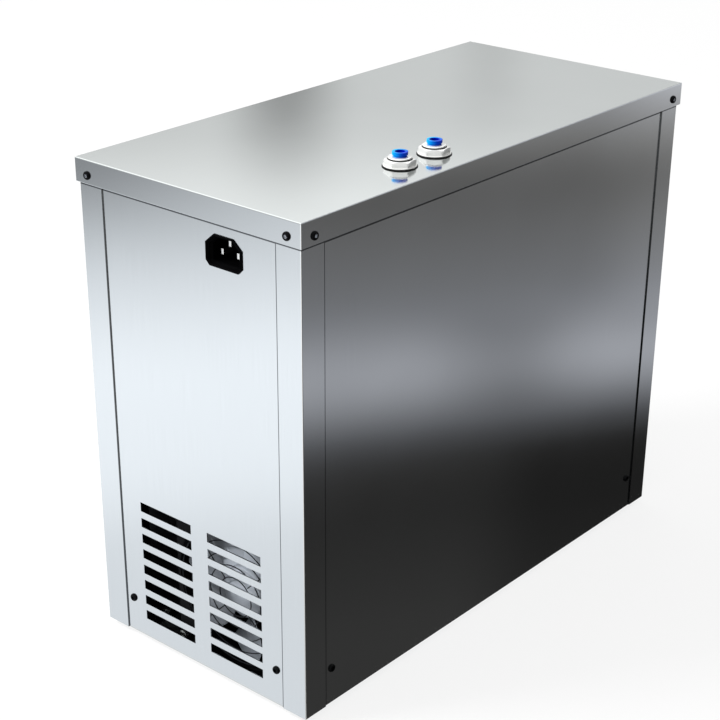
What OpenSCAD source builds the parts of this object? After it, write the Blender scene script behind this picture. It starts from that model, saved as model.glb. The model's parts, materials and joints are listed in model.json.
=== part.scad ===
// Under-sink water chiller: a screwed sheet-steel casing with two push-fit water
// ports on the lid, a mains inlet and a vented front, round a small refrigeration
// set and an insulated stainless tank. Millimetres, +Z up, vented front to -Y,
// origin on the floor below the middle of the casing.

/* [Casing] */
// Width of the casing, across the vented end
body_w = 200; // [190:1:230]
// Length of the casing, front to back
body_l = 430; // [380:1:500]
// Height from the bottom edge to the top of the lid
body_h = 360; // [330:1:420]
// Thickness of the outer sheets
sheet = 1; // [0.8:0.1:1.2]
// How far the lid stands out past the posts
lid_overhang = 2; // [1.6:0.1:3]
// Depth of the lid's turned-down flange
lid_depth = 17; // [15:0.5:24]
// Width of each leg of a corner post
post_w = 21; // [18:0.5:24]
// How far a panel tucks in behind a post
panel_tuck = 8; // [5:0.5:8]
// Height of a rubber foot
foot_h = 5; // [4.5:0.1:8]
// Radius of a rubber foot
foot_r = 10; // [8:0.5:12]
// Distance from the casing's edges to a foot's middle
foot_inset = 30; // [28:0.5:34]

/* [Vents] */
// Distance from the casing's side to the slots
slot_side = 41; // [38:0.5:50]
// Height of one slot
slot_h = 7.4; // [5:0.1:9]
// Distance from slot to slot
slot_pitch = 12.9; // [11.5:0.1:14]
// Slots in one column
slot_rows = 8; // [3:1:9]
// Bar left between the two columns
slot_gap = 16; // [10:1:24]
// Height of the lowest slot over the bottom edge
slot_rise = 15.2; // [14:0.1:20]

/* [Casing screws] */
// Radius of a screw head
screw_head_r = 3; // [2.8:0.1:4]
// Height of a screw head
screw_head_h = 1.6; // [1.4:0.1:2.4]
// Radius of a screw's shank
screw_r = 1.75; // [1.5:0.05:2]
// Length of a screw's shank
screw_l = 8; // [6:0.5:9]
// Distance of a lid screw from the casing's corner
lid_screw_in = 10; // [8.5:0.5:12]
// Distance of a lid screw below the lid's top
lid_screw_drop = 10.8; // [9:0.1:12]
// Distance of a bottom screw from the post beside it
low_screw_past = 7; // [6:0.5:10]
// Height of a bottom screw over the bottom edge
low_screw_rise = 28.2; // [24:0.2:30]

/* [Mains inlet] */
// Middle of the inlet, sideways
inlet_x = 33.4; // [20:0.2:44]
// Middle of the inlet, below the lid's top
inlet_drop = 36.2; // [34:0.2:60]
// Width of the socket that takes the mains lead
socket_w = 24.6; // [24.4:0.1:25]
// Height of that socket
socket_h = 16.2; // [16:0.1:16.6]
// Depth of that socket
socket_d = 16.5; // [16:0.5:18]
// Rim of the bezel, left and right of the socket
rim_side = 3.7; // [3:0.1:5]
// Rim of the bezel, above and below the socket
rim_low = 2.9; // [2.4:0.1:4]
// Distance between the two line pins
pin_pitch = 14; // [13.8:0.1:14.2]

/* [Water ports] */
// Outer diameter of the water tubes
tube_d = 6.35; // [6:0.05:6.4]
// Distance from the casing's right side to both ports
port_side = 26; // [24:0.5:32]
// Distance from the casing's front to the inlet port
port_front = 124.5; // [110:0.5:140]
// Distance from the inlet port to the outlet port
port_pitch = 36.2; // [30:0.1:44]
// Radius of a port's threaded shank
port_r = 8.2; // [7.8:0.1:9]
// Wall of the nut at its flats
nut_wall = 1.3; // [1.1:0.1:2.4]
// Height of the nut
nut_h = 4.4; // [4:0.1:6]
// Radius of the sealing washer under the nut
gasket_r = 12; // [11.5:0.5:13]
// Radius of the release collet's head
collet_head_r = 5.35; // [5.1:0.05:6]
// How far the release collet pushes in
collet_travel = 1; // [0.6:0.1:1.1]

/* [Cooling set] */
// Size of the square fan
fan_size = 120; // [92:1:124]
// Depth of the fan
fan_t = 25; // [24:1:28]
// Space between the fan and the right side panel
fan_side = 10; // [8:0.5:20]
// Number of fan blades
fan_blades = 7; // [5:1:9]
// Space between the condenser's fins and each side panel
cond_side = 24; // [23:0.5:36]
// How much taller than the fan the condenser is
cond_over = 10; // [4:1:14]
// Depth of the condenser's finned block
cond_d = 44; // [36:1:50]
// Number of condenser fins
fin_count = 32; // [12:1:36]
// Radius of the compressor's shell
shell_r = 58; // [50:1:62]
// Height of the compressor's shell
shell_h = 140; // [120:1:150]
// Space between the foam block and each side panel
foam_gap = 13.4; // [13.2:0.1:24]
// Space between the foam block and the lid
foam_top = 20.8; // [16:0.2:40]
// Space between the outlet port and the foam block
foam_past = 43.7; // [38:0.1:60]
// Space between the foam block and the rear panel
foam_rear = 23; // [20:0.5:40]
// Thickness of the foam beside the coil
foam_side = 15; // [10:0.5:24]
// Thickness of the foam at the tank's ends
foam_end = 18; // [14:0.5:24]
// Turns of the evaporator coil
coil_turns = 9; // [5:1:10]

/* [Hidden] */
$fn = 48;
cut = 1;              // overrun of every cut
near = 0.3;           // gap between pieces that only lie beside each other
run = 0.05;           // radial gap of a running fit
slip = 0.08;          // radial gap round a tube or a screw in its hole

// sides of the casing, and its corners as seen from above
ends = ["front", "rear"];
flanks = ["left", "right"];
corners = [for (y = [-1, 1]) for (x = [-1, 1]) [x, y]];
function is_end(side) = side == "front" || side == "rear";
function turn_of(side) = side == "right" ? 90 : side == "rear" ? 180 : side == "left" ? 270 : 0;
function face_at(side) = (is_end(side) ? body_l : body_w) / 2;
function face_l(side) = is_end(side) ? body_w : body_l;

// heights and inner faces of the casing
tray_t = 1.2;
wall_h = 35;                                  // tray's turned-up walls at the screws
lip_h = 9;                                    // tray's low lip behind the vents
floor_z = foot_h + tray_t;
top_z = foot_h + body_h;
roof_z = top_z - sheet;                       // underside of the lid
in_x = body_w / 2 - 2 * sheet;                // inner faces of the panels
in_y = body_l / 2 - 2 * sheet;
low_screw_in = post_w + low_screw_past;
wall_from = post_w + sheet;                   // tray walls start this far from a corner
ear_past = 8;                                 // tray wall beyond a screw's middle
tray_ear = low_screw_in - wall_from + ear_past;
neck = post_w - panel_tuck - sheet;           // post's foot where it passes the panels
gusset_t = 1.2;
gusset_past = 7;
gusset = foot_inset + gusset_past;            // reach of a post's foot plate
post_in = 2 * sheet + tray_t + near;          // foot plate's step inside the tray's wall
foot_x = body_w / 2 - foot_inset;
foot_y = body_l / 2 - foot_inset;
slot_w = body_w / 2 - slot_side - slot_gap / 2;

// foot bolts
bolt_r = 2;
bolt_head_r = 3.8;
bolt_head_h = 2;
bolt_nut_r = 4;
bolt_nut_h = 3;
bolt_hole_r = bolt_r + slip;
foot_seat = bolt_head_h + near;               // depth of the recess in a foot

// mains inlet
inlet_w = socket_w + 2 * rim_side;
inlet_h = socket_h + 2 * rim_low;
bezel_t = 1;
inlet_chamfer = [7.5, 6.5];                   // upper corners of the bezel
inlet_low_chamfer = 3.3;
inlet_wall = 1.2;
inlet_floor = 5;
barrel_w = socket_w + 2 * inlet_wall;         // part of the inlet behind the panel
barrel_h = socket_h + 2 * inlet_wall;
barrel_d = socket_d + inlet_floor;
pin_w = 2;
pin_h = 4;
line_low = 2;                                 // line pins below the inlet's middle, earth pin above it
earth_up = 4.8;
pin_short = 6.5;                              // pins end this far inside the socket
tab = [0.8, 4.8, 8];
wing = [1.2, 8, 9];
inlet_y = -body_l / 2 + sheet;
inlet_z = top_z - inlet_drop;
pins = [[-pin_pitch / 2, -line_low], [pin_pitch / 2, -line_low], [0, earth_up]];

// water ports, heights counted from the lid's top
port_x = body_w / 2 - port_side;
inlet_port_y = port_front - body_l / 2;
outlet_port_y = inlet_port_y + port_pitch;
nut_af = 2 * (port_r + nut_wall);
tube_r = tube_d / 2;
bore_r = tube_r + slip;
gasket_t = 0.8;
boss_h = 1.6;                                 // shank showing above the nut
nut_turn = 40;
boss_top = gasket_t + nut_h + boss_h;
collet_spare = 0.2;
collet_rest = collet_travel + collet_spare;   // gap under the collet's head
collet_head_h = 2;
collet_wall = 1.2;
collet_r = bore_r + collet_wall;
collet_tail = 7.5;                            // reach of the collet below the lid's top
ring_seat = 1.4;
ring_step = 1;
ring_r = collet_r + ring_step;
oring_w = 2.1;
oring_seat = 2.6;
socket_below = 5;                             // tube's socket below the seal
waterway_r = 2.2;
stop_h = 3;
tail_socket = 8;
flange_af = 22;
flange_h = 6;
port_wall = 4.2;
ring_z = -collet_tail - ring_seat;
seal_z = ring_z - oring_seat;
stop_z = seal_z - socket_below;
tail_z = stop_z - stop_h;
port_end = tail_z - tail_socket;
mount_l = boss_top + collet_rest + collet_head_h;
slit_w = 1;

// fan and shroud, in line behind the front panel's screws
screw_gap = 1;
guard_t = 4;
guard_wire = 0.9;
shroud_d = 29;
fan_x = in_x - fan_side - fan_size / 2;
shroud_w = 2 * fan_x + fan_size + 2 * sheet;
shroud_rise = 5;                              // over the posts' foot plates and their nuts
fan_y = screw_l + screw_gap + sheet - body_l / 2;
guard_y = fan_y - guard_t;
shroud_y = fan_y + fan_t;
cond_y = shroud_y + shroud_d;
fan_z = floor_z + shroud_rise + fan_size / 2;
fan_rim = 2;
fan_bore = fan_size / 2 - fan_rim;
fan_tip = 2;
spoke_t = 3;
spoke_w = 5;
hub_in = 3.4;
hub_r = 20;
hub_l = fan_t - spoke_t - 2 * near - hub_in;
hub_wall = 2;
blade_t = 1.6;
blade_in = 1.94;
blade_angle = 35;
blade_chord = (hub_l - blade_in) / sin(blade_angle);
pad_r = 18;
fan_axle = 1.5;
fan_hole_share = 0.875;
fan_hole = fan_hole_share * fan_size / 2;
ring_shares = [0.26, 0.42, 0.58, 0.74, 0.9];  // guard rings, of the fan's bore
fan_screw_r = 2;
eye_r = 4;

// condenser
cond_w = 2 * (in_x - cond_side);
cond_h = fan_size + cond_over;
cond_rise = 3;
cond_z = floor_z + cond_rise;
row_in = 11;
row_pitch = cond_d - 2 * row_in;
level_in = 17;
level_count = 5;
level_pitch = (cond_h - 2 * level_in) / (level_count - 1);
pass_count = 2 * level_count;
cond_tube_r = 4;
end_t = 1.2;
end_foot = 10;
hairpin = 3;
fin_t = 0.4;
cond_end = cond_w / 2 + end_t + hairpin;
end_screw_shares = [0.2, 0.8];                // of the condenser's depth

// compressor
grommet_r = 9;
grommet_h = 12;
grommet_lip = 3;
grommet_neck = 6.8;
plate_t = 3;
plate_gap = 4;                                // between a grommet and a post's foot plate
plate_edge = [12, 12.5];
plate_rear = 16.3;
comp_bolt_r = 3;
comp_bolt_at = [body_w / 2 - gusset - grommet_r - plate_gap, 82.5];
comp_plate = [2 * (comp_bolt_at[0] + plate_edge[0]), 2 * (comp_bolt_at[1] + plate_edge[1]), plate_t];
comp_y = in_y - plate_rear - comp_plate[1] / 2;
comp_z = floor_z + grommet_h + plate_t;
shell_t = 3;
pump_r = 32;
shell_round = shell_r - pump_r;
split_share = 0.42;                           // heights on the compressor's shell
discharge_share = 0.58;
suction_share = 0.66;
shell_split = split_share * shell_h;
discharge_z = comp_z + discharge_share * shell_h;
suction_z = comp_z + suction_share * shell_h;
lap_h = 8;
lap_t = 2.4;
stub_boss_r = 5.5;
stub_boss = 6;
motor_gap = 0.2;
shaft_r = 8;
bearing_z = 8;
bearing_t = 8;
chamber_h = 20;
chamber_r = 20.4;
roller_r = 15.9;
eccentric = 4.3;
stator_z = 56;
stator_top = 36;
stator_h = shell_h - stator_z - stator_top;
stator_bore = 27;
air_gap = 0.4;

// tank stand, over the compressor
stand_side = 6;
stand_x = body_w / 2 - stand_side;
stand_t = 1.2;
stand_gap = 11.6;
stand_rise = grommet_h + plate_t + shell_h + stand_gap;
stand_edge = 4;
stand_foot = 12;
window_in = 24;
window_low = 20;
window_top = 20;
stand_screw_in = 12;

// tank, coil and foam
wall_t = 1.2;
coil_r = 4;
coil_angle = 20;                              // from ring to ring of its route
foam_z = floor_z + stand_rise + stand_t;
foam_w = 2 * (in_x - foam_gap);
foam_h = roof_z - foam_z - foam_top;
coil_mid = min(foam_w, foam_h) / 2 - foam_side - coil_r - near;
cavity_r = coil_mid + coil_r + near;
tank_r = coil_mid * cos(coil_angle / 2) - coil_r - near;
foam_front = outlet_port_y + foam_past;
foam_back = in_y - foam_rear;
foam_l = foam_back - foam_front;
tank_l = foam_l - 2 * near - 2 * foam_end;
tank_y = foam_front + foam_end + near;
tank_z = foam_z + foam_h / 2;
stub_in = 12.8;
stub_angle = 53.6;
stub_at = (tank_r - stub_in) * [cos(stub_angle), sin(stub_angle)];
stub_out = 12;
tail_drop = 14;
tail_bend = 10;
tail_out = 3;
coil_in = 14;
coil_from = tank_y + coil_in;
coil_to = tank_y + tank_l - coil_in;
well_up = 20;
well_r = 4.3;
well_l = 52;
bulb_r = 3;
union_r = 8;
union_l = 20;
union_gap = 1.5;
stub_gap = 2;
tube_bend = 20;
strap_w = 15;
strap_t = 0.6;
strap_foot = strap_t + 2 * bolt_head_r + 2 * near;
strap_screw = strap_t + bolt_head_r + near;
strap_shares = [0.25, 0.75];                  // of the foam's length
leg_in = [2, 30];                             // legs' ends inside the foam's length
stand_leg = [foam_front + leg_in[0], foam_front + foam_l - leg_in[1]];

// terminal cover
cover_gap = 4.8;
cover = [stand_x - stand_t - cover_gap - shell_r, 48, 52];
cover_up = 42;
cover_z = comp_z + cover_up;
cover_t = 2;

// refrigerant lines
line_r = 3;
line_bend = 5;
line_out = 7.8;
line_x = cond_end + line_out;
low_line = 8;
drier_r = 9;
drier_l = 80;
drier_neck = 8;
drier_back = 36;
drier_up = 44;
drier_y = cond_y + cond_d + drier_back;
drier_z = floor_z + drier_up;
cap_r = 1;
cap_bend = 8;
cap_turns = 3;
cap_coil_r = 22;
cap_lift = 5;                                 // of one loop
cap_rise = 22;
cap_angle = 18;                               // from ring to ring of its route
suction_r = 4;
suction_x = 30;
suction_in = 10;
suction_y = in_y - suction_in;
discharge_x = -30;

// thermostat, below the stand's edge
stat = [40, 30, 36];
stat_side = 40;
stat_gap = 9.8;
stat_x = stat_side - body_w / 2;
stat_z = foam_z - stand_t - stat_gap - stat[2] / 2;
bush_r = 5;
spindle_r = 3;
spindle_out = 1.2;
spindle_slot = 0.9;
stat_nut_r = 7.5;
stat_nut_h = 1.2;

// wiring
cable_r = 3;
lead_r = 2;
cable_bend = 12;
cable_turn = 20;                              // mains cable runs down this far before the foam
cable_gap = 1.8;
cable_x = port_x + tube_r + cable_gap + cable_r;
cover_x = shell_r + cover[0] - 2 * cable_r;   // where the leads enter the terminal cover

// -- shared shapes

// Turns so that children drawn on XY with +Z outward lie on one side of the casing
module on_side(side) {
    rotate([0, 0, turn_of(side)]) translate([0, -face_at(side), 0]) rotate([90, 0, 0]) children();
}

// Children drawn inward (+X, +Y) from the casing's edge, at one corner
module at_corner(c) {
    translate([c[0] * body_w / 2, c[1] * body_l / 2, 0])
        mirror([c[0] > 0 ? 1 : 0, 0, 0]) mirror([0, c[1] > 0 ? 1 : 0, 0]) children();
}

module ring(r, bore, h) {
    difference() {
        cylinder(r = r, h = h);
        translate([0, 0, -cut]) cylinder(r = bore, h = h + 2 * cut);
    }
}

module hex(af, h) {
    cylinder(r = af / 2 / cos(30), h = h, $fn = 6);
}

// Flat plate in a face's own plane, its outer side at height out
module plate(w, low, high, out, t) {
    translate([-w / 2, low, out - t]) cube([w, high - low, t]);
}

// Points of a route with each inner corner turned to an arc of radius bend
function unit(v) = v / norm(v);
function arc(a, b, c, bend, steps) =
    let (u = unit(b - a), v = unit(c - b), turn = acos(max(-1, min(1, u * v))))
    turn < 1 ? [b] :
    let (reach = bend * tan(turn / 2), from = b - reach * u,
         side = unit(v - (u * v) * u), centre = from + bend * side)
    [for (i = [0:steps]) let (t = turn * i / steps)
        centre - bend * cos(t) * side + bend * sin(t) * u];
function rounded(p, bend, steps = 5) = let (n = len(p)) concat(
    [p[0]], [for (i = [1:n - 2]) each arc(p[i - 1], p[i], p[i + 1], bend, steps)],
    [p[n - 1]]);
function spaced(p) = [for (i = [0:len(p) - 1]) if (i == 0 || norm(p[i] - p[i - 1]) > run) p[i]];

// Directions of the rings along a route, and a side vector carried along them
function heading(p, i) = let (n = len(p))
    unit(i == 0 ? p[1] - p[0] : i == n - 1 ? p[i] - p[i - 1]
        : unit(p[i] - p[i - 1]) + unit(p[i + 1] - p[i]));
function square_to(v, t) = unit(v - (v * t) * t);
function first_side(t) = square_to(abs(t[2]) < 0.9 ? [0, 0, 1] : [0, 1, 0], t);

// Solid tube of radius r swept along a route
module pipe(route, r, sides = 8) {
    p = spaced(route);
    n = len(p);
    t = [for (i = [0:n - 1]) heading(p, i)];
    s = [for (i = 0, v = first_side(t[0]); i < n;
        i = i + 1, v = i < n ? square_to(v, t[i]) : v) v];
    points = [for (i = [0:n - 1]) for (k = [0:sides - 1])
        let (a = 360 * k / sides) p[i] + r * (cos(a) * s[i] + sin(a) * cross(t[i], s[i]))];
    walls = [for (i = [0:n - 2]) for (k = [0:sides - 1])
        let (a = i * sides + k, b = i * sides + (k + 1) % sides)
        each [[a, a + sides, b], [b, a + sides, b + sides]]];
    near_end = [[for (k = [0:sides - 1]) k]];
    far_end = [[for (k = [sides - 1:-1:0]) (n - 1) * sides + k]];
    polyhedron(points, concat(walls, near_end, far_end), convexity = 8);
}

// -- casing

// Shallow pan; its walls stand behind the panels and drop to a lip at the vents
module base_tray() {
    color("gainsboro") difference() {
        union() {
            translate([-in_x, -in_y, foot_h]) cube([2 * in_x, 2 * in_y, tray_t]);
            for (side = ends) on_side(side) {
                plate(body_w - 2 * wall_from, foot_h, foot_h + lip_h, -2 * sheet, tray_t);
                for (s = [-1, 1]) translate([s * (body_w / 2 - wall_from - tray_ear / 2), 0, 0])
                    plate(tray_ear, foot_h, foot_h + wall_h, -2 * sheet, tray_t);
            }
            for (side = flanks) on_side(side)
                plate(body_l - 2 * wall_from, foot_h, foot_h + wall_h, -2 * sheet, tray_t);
        }
        low_screw_holes(screw_r + slip);
        for (s = corners) translate([s[0] * foot_x, s[1] * foot_y, 0]) floor_hole(bolt_hole_r);
        for (p = floor_screws) translate(p) floor_hole(bolt_hole_r);
        for (p = comp_bolts) translate(p) floor_hole(comp_bolt_r + slip);
    }
}

module floor_hole(r) {
    translate([0, 0, foot_h - cut]) cylinder(r = r, h = tray_t + 2 * cut);
}

module low_screw_holes(r) {
    for (side = concat(ends, flanks)) on_side(side)
        for (s = [-1, 1]) translate([s * low_screw_u(side), foot_h + low_screw_rise, -4 * sheet - tray_t])
            cylinder(r = r, h = 4 * sheet + tray_t + cut);
}
function low_screw_u(side) = face_l(side) / 2 - low_screw_in;
function lid_screw_u(side) = face_l(side) / 2 - lid_screw_in;

// Corner post: an angle with a foot plate that lies on the tray's floor
module post(c) {
    color("silver") at_corner(c) difference() {
        union() {
            translate([0, 0, foot_h]) cube([post_w, sheet, roof_z - foot_h]);
            translate([0, 0, foot_h]) cube([sheet, post_w, roof_z - foot_h]);
            translate([0, 0, floor_z]) cube([neck, neck, gusset_t]);
            translate([post_in, post_in, floor_z])
                cube([gusset - post_in, gusset - post_in, gusset_t]);
        }
        translate([foot_inset, foot_inset, floor_z - cut])
            cylinder(r = bolt_hole_r, h = gusset_t + 2 * cut);
        translate([lid_screw_in, sheet + cut, top_z - lid_screw_drop]) rotate([90, 0, 0])
            cylinder(r = screw_r + slip, h = sheet + 2 * cut);
        translate([-cut, lid_screw_in, top_z - lid_screw_drop]) rotate([0, 90, 0])
            cylinder(r = screw_r + slip, h = sheet + 2 * cut);
    }
}

// Flat sheet that lies behind the posts on one side
module panel(side) {
    on_side(side)
        plate(face_l(side) - 2 * post_w + 2 * panel_tuck, foot_h, roof_z - near, -sheet, sheet);
}

module vent_slots() {
    for (s = [-1, 1]) for (row = [0:slot_rows - 1])
        translate([s * (slot_gap + slot_w) / 2 - slot_w / 2,
            foot_h + slot_rise + row * slot_pitch, -2 * sheet - cut])
            cube([slot_w, slot_h, sheet + 2 * cut]);
}

module front_panel() {
    color("lightsteelblue") difference() {
        panel("front");
        low_screw_holes(screw_r + slip);
        on_side("front") vent_slots();
        on_side("front") translate([inlet_x, inlet_z, -2 * sheet - cut]) linear_extrude(sheet + 2 * cut)
            bezel_outline(barrel_w + 2 * near, barrel_h + 2 * near, rim_side / 2);
    }
}

module rear_panel() {
    color("lightsteelblue") difference() {
        panel("rear");
        low_screw_holes(screw_r + slip);
        on_side("rear") vent_slots();
        translate([stat_x, in_y - cut, stat_z]) rotate([-90, 0, 0])
            cylinder(r = bush_r + slip, h = sheet + 2 * cut);
    }
}

module side_panel(side) {
    color("gray") difference() {
        panel(side);
        low_screw_holes(screw_r + slip);
    }
}

// Lid: a plain pan, turned down all round and screwed to the posts
module lid() {
    outer = [body_w + 2 * lid_overhang, body_l + 2 * lid_overhang];
    inner = outer - [2 * sheet, 2 * sheet];
    color("lightgray") difference() {
        translate([-outer[0] / 2, -outer[1] / 2, top_z - lid_depth])
            cube([outer[0], outer[1], lid_depth]);
        translate([-inner[0] / 2, -inner[1] / 2, top_z - lid_depth - cut])
            cube([inner[0], inner[1], lid_depth - sheet + cut]);
        for (y = [inlet_port_y, outlet_port_y]) translate([port_x, y, roof_z - cut])
            cylinder(r = port_r + slip, h = sheet + 2 * cut);
        for (side = concat(ends, flanks)) on_side(side) for (s = [-1, 1])
            translate([s * lid_screw_u(side), top_z - lid_screw_drop, 0])
                cylinder(r = screw_r + slip, h = lid_overhang + cut);
    }
}

// Button-head screw pointing down, its head resting on z = 0
module button_screw() {
    difference() {
        rotate_extrude() polygon([[0, -screw_l], [screw_r / 2, -screw_l], [screw_r, -screw_l + screw_r],
            [screw_r, 0], [screw_head_r, 0], [screw_head_r, screw_head_h / 3],
            [screw_head_r * 0.8, screw_head_h * 0.8], [screw_head_r / 2, screw_head_h], [0, screw_head_h]]);
        for (a = [0, 90]) rotate([0, 0, a])
            translate([-screw_head_r / 2, -screw_head_h / 5, screw_head_h / 2])
                cube([screw_head_r, screw_head_h / 2.5, screw_head_h]);
    }
}

module casing_screws() {
    color("dimgray") for (side = concat(ends, flanks)) on_side(side) for (s = [-1, 1]) {
        translate([s * lid_screw_u(side), top_z - lid_screw_drop, lid_overhang]) button_screw();
        translate([s * low_screw_u(side), foot_h + low_screw_rise, -sheet]) button_screw();
    }
}

module feet() {
    color("black") for (s = corners) translate([s[0] * foot_x, s[1] * foot_y, 0]) difference() {
        cylinder(r1 = foot_r * 0.9, r2 = foot_r, h = foot_h);
        translate([0, 0, -cut]) cylinder(r = bolt_hole_r, h = foot_h + 2 * cut);
        translate([0, 0, -cut]) cylinder(r = bolt_head_r + near, h = foot_seat + cut);
    }
}

module foot_bolts() {
    color("dimgray") for (s = corners) translate([s[0] * foot_x, s[1] * foot_y, 0]) {
        translate([0, 0, foot_seat - bolt_head_h]) cylinder(r = bolt_head_r, h = bolt_head_h);
        translate([0, 0, foot_seat])
            cylinder(r = bolt_r, h = floor_z + gusset_t + bolt_nut_h - foot_seat + near);
        translate([0, 0, floor_z + gusset_t]) difference() {
            hex(2 * bolt_nut_r * cos(30), bolt_nut_h);
            translate([0, 0, -cut]) cylinder(r = bolt_r, h = bolt_nut_h + 2 * cut);
        }
    }
}

// -- mains inlet

// Rectangle with wide upper and small lower chamfers
module bezel_outline(w, h, small) {
    cx = inlet_chamfer[0] * w / inlet_w;
    cy = inlet_chamfer[1] * h / inlet_h;
    polygon([[-w / 2, -h / 2 + small], [-w / 2 + small, -h / 2], [w / 2 - small, -h / 2],
        [w / 2, -h / 2 + small], [w / 2, h / 2 - cy], [w / 2 - cx, h / 2],
        [-w / 2 + cx, h / 2], [-w / 2, h / 2 - cy]]);
}

module at_inlet() {
    translate([inlet_x, inlet_y, inlet_z]) rotate([90, 0, 0]) children();
}

module inlet_body() {
    color("black") at_inlet() {
        difference() {
            union() {
                linear_extrude(bezel_t) bezel_outline(inlet_w, inlet_h, inlet_low_chamfer);
                translate([0, 0, -barrel_d]) linear_extrude(barrel_d)
                    bezel_outline(barrel_w, barrel_h, rim_side / 2);
                for (s = [-1, 1]) translate([s * (barrel_w + wing[0]) / 2 - wing[0] / 2,
                    -wing[1] / 2, -sheet - near - wing[2]]) cube(wing);
            }
            translate([0, 0, bezel_t - socket_d]) linear_extrude(socket_d + cut)
                bezel_outline(socket_w, socket_h, rim_side / 4);
            for (p = pins) translate([p[0] - pin_w / 2 - slip, p[1] - pin_h / 2 - slip, -barrel_d - cut])
                cube([pin_w + 2 * slip, pin_h + 2 * slip, barrel_d]);
        }
    }
}

module inlet_pins() {
    color("silver") at_inlet() for (p = pins) translate([p[0], p[1], 0]) {
        translate([-pin_w / 2, -pin_h / 2, -barrel_d])
            cube([pin_w, pin_h, barrel_d + bezel_t - pin_short]);
        translate([-tab[0] / 2, -tab[1] / 2, -barrel_d - tab[2]]) cube([tab[0], tab[1], tab[2]]);
    }
}

// -- water ports

module at_port(y) {
    translate([port_x, y, top_z]) children();
}

// Bulkhead body: hex flange under the lid, threaded shank through it
module fitting(y) {
    color("silver") at_port(y) difference() {
        union() {
            translate([0, 0, -sheet - flange_h]) hex(flange_af, flange_h);
            translate([0, 0, -sheet - flange_h]) cylinder(r = port_r, h = sheet + flange_h + boss_top);
            translate([0, 0, port_end]) cylinder(r = tube_r + port_wall, h = -port_end);
        }
        translate([0, 0, -collet_tail - near])
            cylinder(r = collet_r + run, h = collet_tail + boss_top + cut + near);
        translate([0, 0, ring_z]) cylinder(r = ring_r, h = ring_seat);
        translate([0, 0, seal_z]) cylinder(r = ring_r, h = oring_seat - near);
        translate([0, 0, stop_z]) cylinder(r = bore_r, h = socket_below + cut + oring_seat);
        translate([0, 0, tail_z - cut]) cylinder(r = waterway_r, h = stop_h + 2 * cut);
        translate([0, 0, port_end - cut]) cylinder(r = tube_r + near, h = tail_socket + cut);
    }
}

module fitting_gaskets() {
    color("black") for (y = [inlet_port_y, outlet_port_y]) at_port(y)
        ring(gasket_r, port_r + slip, gasket_t);
}

module fitting_nuts() {
    bevel = nut_af / 2 / cos(30) - nut_af / 2;
    color("whitesmoke") for (y = [inlet_port_y, outlet_port_y]) at_port(y) translate([0, 0, gasket_t])
        difference() {
            intersection() {
                rotate([0, 0, nut_turn]) hex(nut_af, nut_h);
                rotate_extrude() polygon([[0, 0], [nut_af / 2 + bevel, 0],
                    [nut_af / 2 + bevel, nut_h - bevel * tan(30)], [nut_af / 2, nut_h], [0, nut_h]]);
            }
            translate([0, 0, -cut]) cylinder(r = port_r + run, h = nut_h + 2 * cut);
        }
}

// Release collet: a headed sleeve, slit at its lower end so that it can grip
module collet(y) {
    color("dodgerblue") at_port(y) difference() {
        union() {
            translate([0, 0, -collet_tail + collet_travel])
                cylinder(r = collet_r, h = collet_tail - collet_travel + boss_top + collet_rest);
            translate([0, 0, boss_top + collet_rest]) cylinder(r = collet_head_r, h = collet_head_h);
        }
        translate([0, 0, -collet_tail]) cylinder(r = bore_r, h = collet_tail + mount_l + cut);
        for (a = [0, 90]) rotate([0, 0, a]) translate([-collet_r - cut, -slit_w / 2, -collet_tail])
            cube([2 * (collet_r + cut), slit_w, collet_tail]);
    }
}

module fitting_orings() {
    color("black") for (y = [inlet_port_y, outlet_port_y]) at_port(y)
        translate([0, 0, seal_z + oring_w / 2]) rotate_extrude()
            translate([ring_r - near / 2 - oring_w / 2, 0]) circle(r = oring_w / 2, $fn = 24);
}

// Toothed steel washers that hold the tubes
module grab_rings() {
    color("silver") for (y = [inlet_port_y, outlet_port_y]) at_port(y)
        translate([0, 0, ring_z + ring_seat / 2]) difference() {
            ring(ring_r - near / 2, bore_r, near);
            for (a = [0:60:120]) rotate([0, 0, a]) translate([-collet_r, -slit_w / 2, -cut])
                cube([2 * collet_r, slit_w, near + 2 * cut]);
        }
}

// -- tank

module along_y(y, z, x = 0) {
    translate([x, y, z]) rotate([-90, 0, 0]) children();
}

// Stainless tank with two tube stubs in front and a probe pocket behind
module tank() {
    inner_l = tank_l - 2 * wall_t;
    color("silver") difference() {
        union() {
            difference() {
                along_y(tank_y, tank_z) cylinder(r = tank_r, h = tank_l);
                along_y(tank_y + wall_t, tank_z) cylinder(r = tank_r - wall_t, h = inner_l);
            }
            along_y(tank_y + tank_l - well_l - wall_t, tank_z + well_up)
                cylinder(r = well_r, h = well_l + wall_t);
            for (s = [-1, 1]) along_y(foam_front - stub_out, tank_z + s * stub_at[1], stub_at[0])
                cylinder(r = tube_r, h = stub_out + foam_end + near + 2 * wall_t);
        }
        along_y(tank_y + tank_l - well_l, tank_z + well_up) cylinder(r = bulb_r + slip, h = well_l + cut);
        for (s = [-1, 1]) along_y(foam_front - stub_out - cut, tank_z + s * stub_at[1], stub_at[0])
            cylinder(r = waterway_r, h = stub_out + foam_end + near + 2 * wall_t + 2 * cut);
    }
}

// Copper coil round the tank: in low at the front, out high at the back
function coil_route() = let (a0 = tail_drop) concat(
    rounded([[coil_mid, foam_front - tail_out, tank_z - a0], [coil_mid, coil_from, tank_z - a0],
        [coil_mid, coil_from, tank_z]], tail_bend, 4),
    [for (a = [coil_angle:coil_angle:360 * coil_turns - coil_angle])
        [coil_mid * cos(a), coil_from + (coil_to - coil_from) * a / (360 * coil_turns),
            tank_z + coil_mid * sin(a)]],
    rounded([[coil_mid, coil_to, tank_z], [coil_mid, coil_to, tank_z + a0],
        [coil_mid, foam_back + tail_out, tank_z + a0]], tail_bend, 4));

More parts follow.
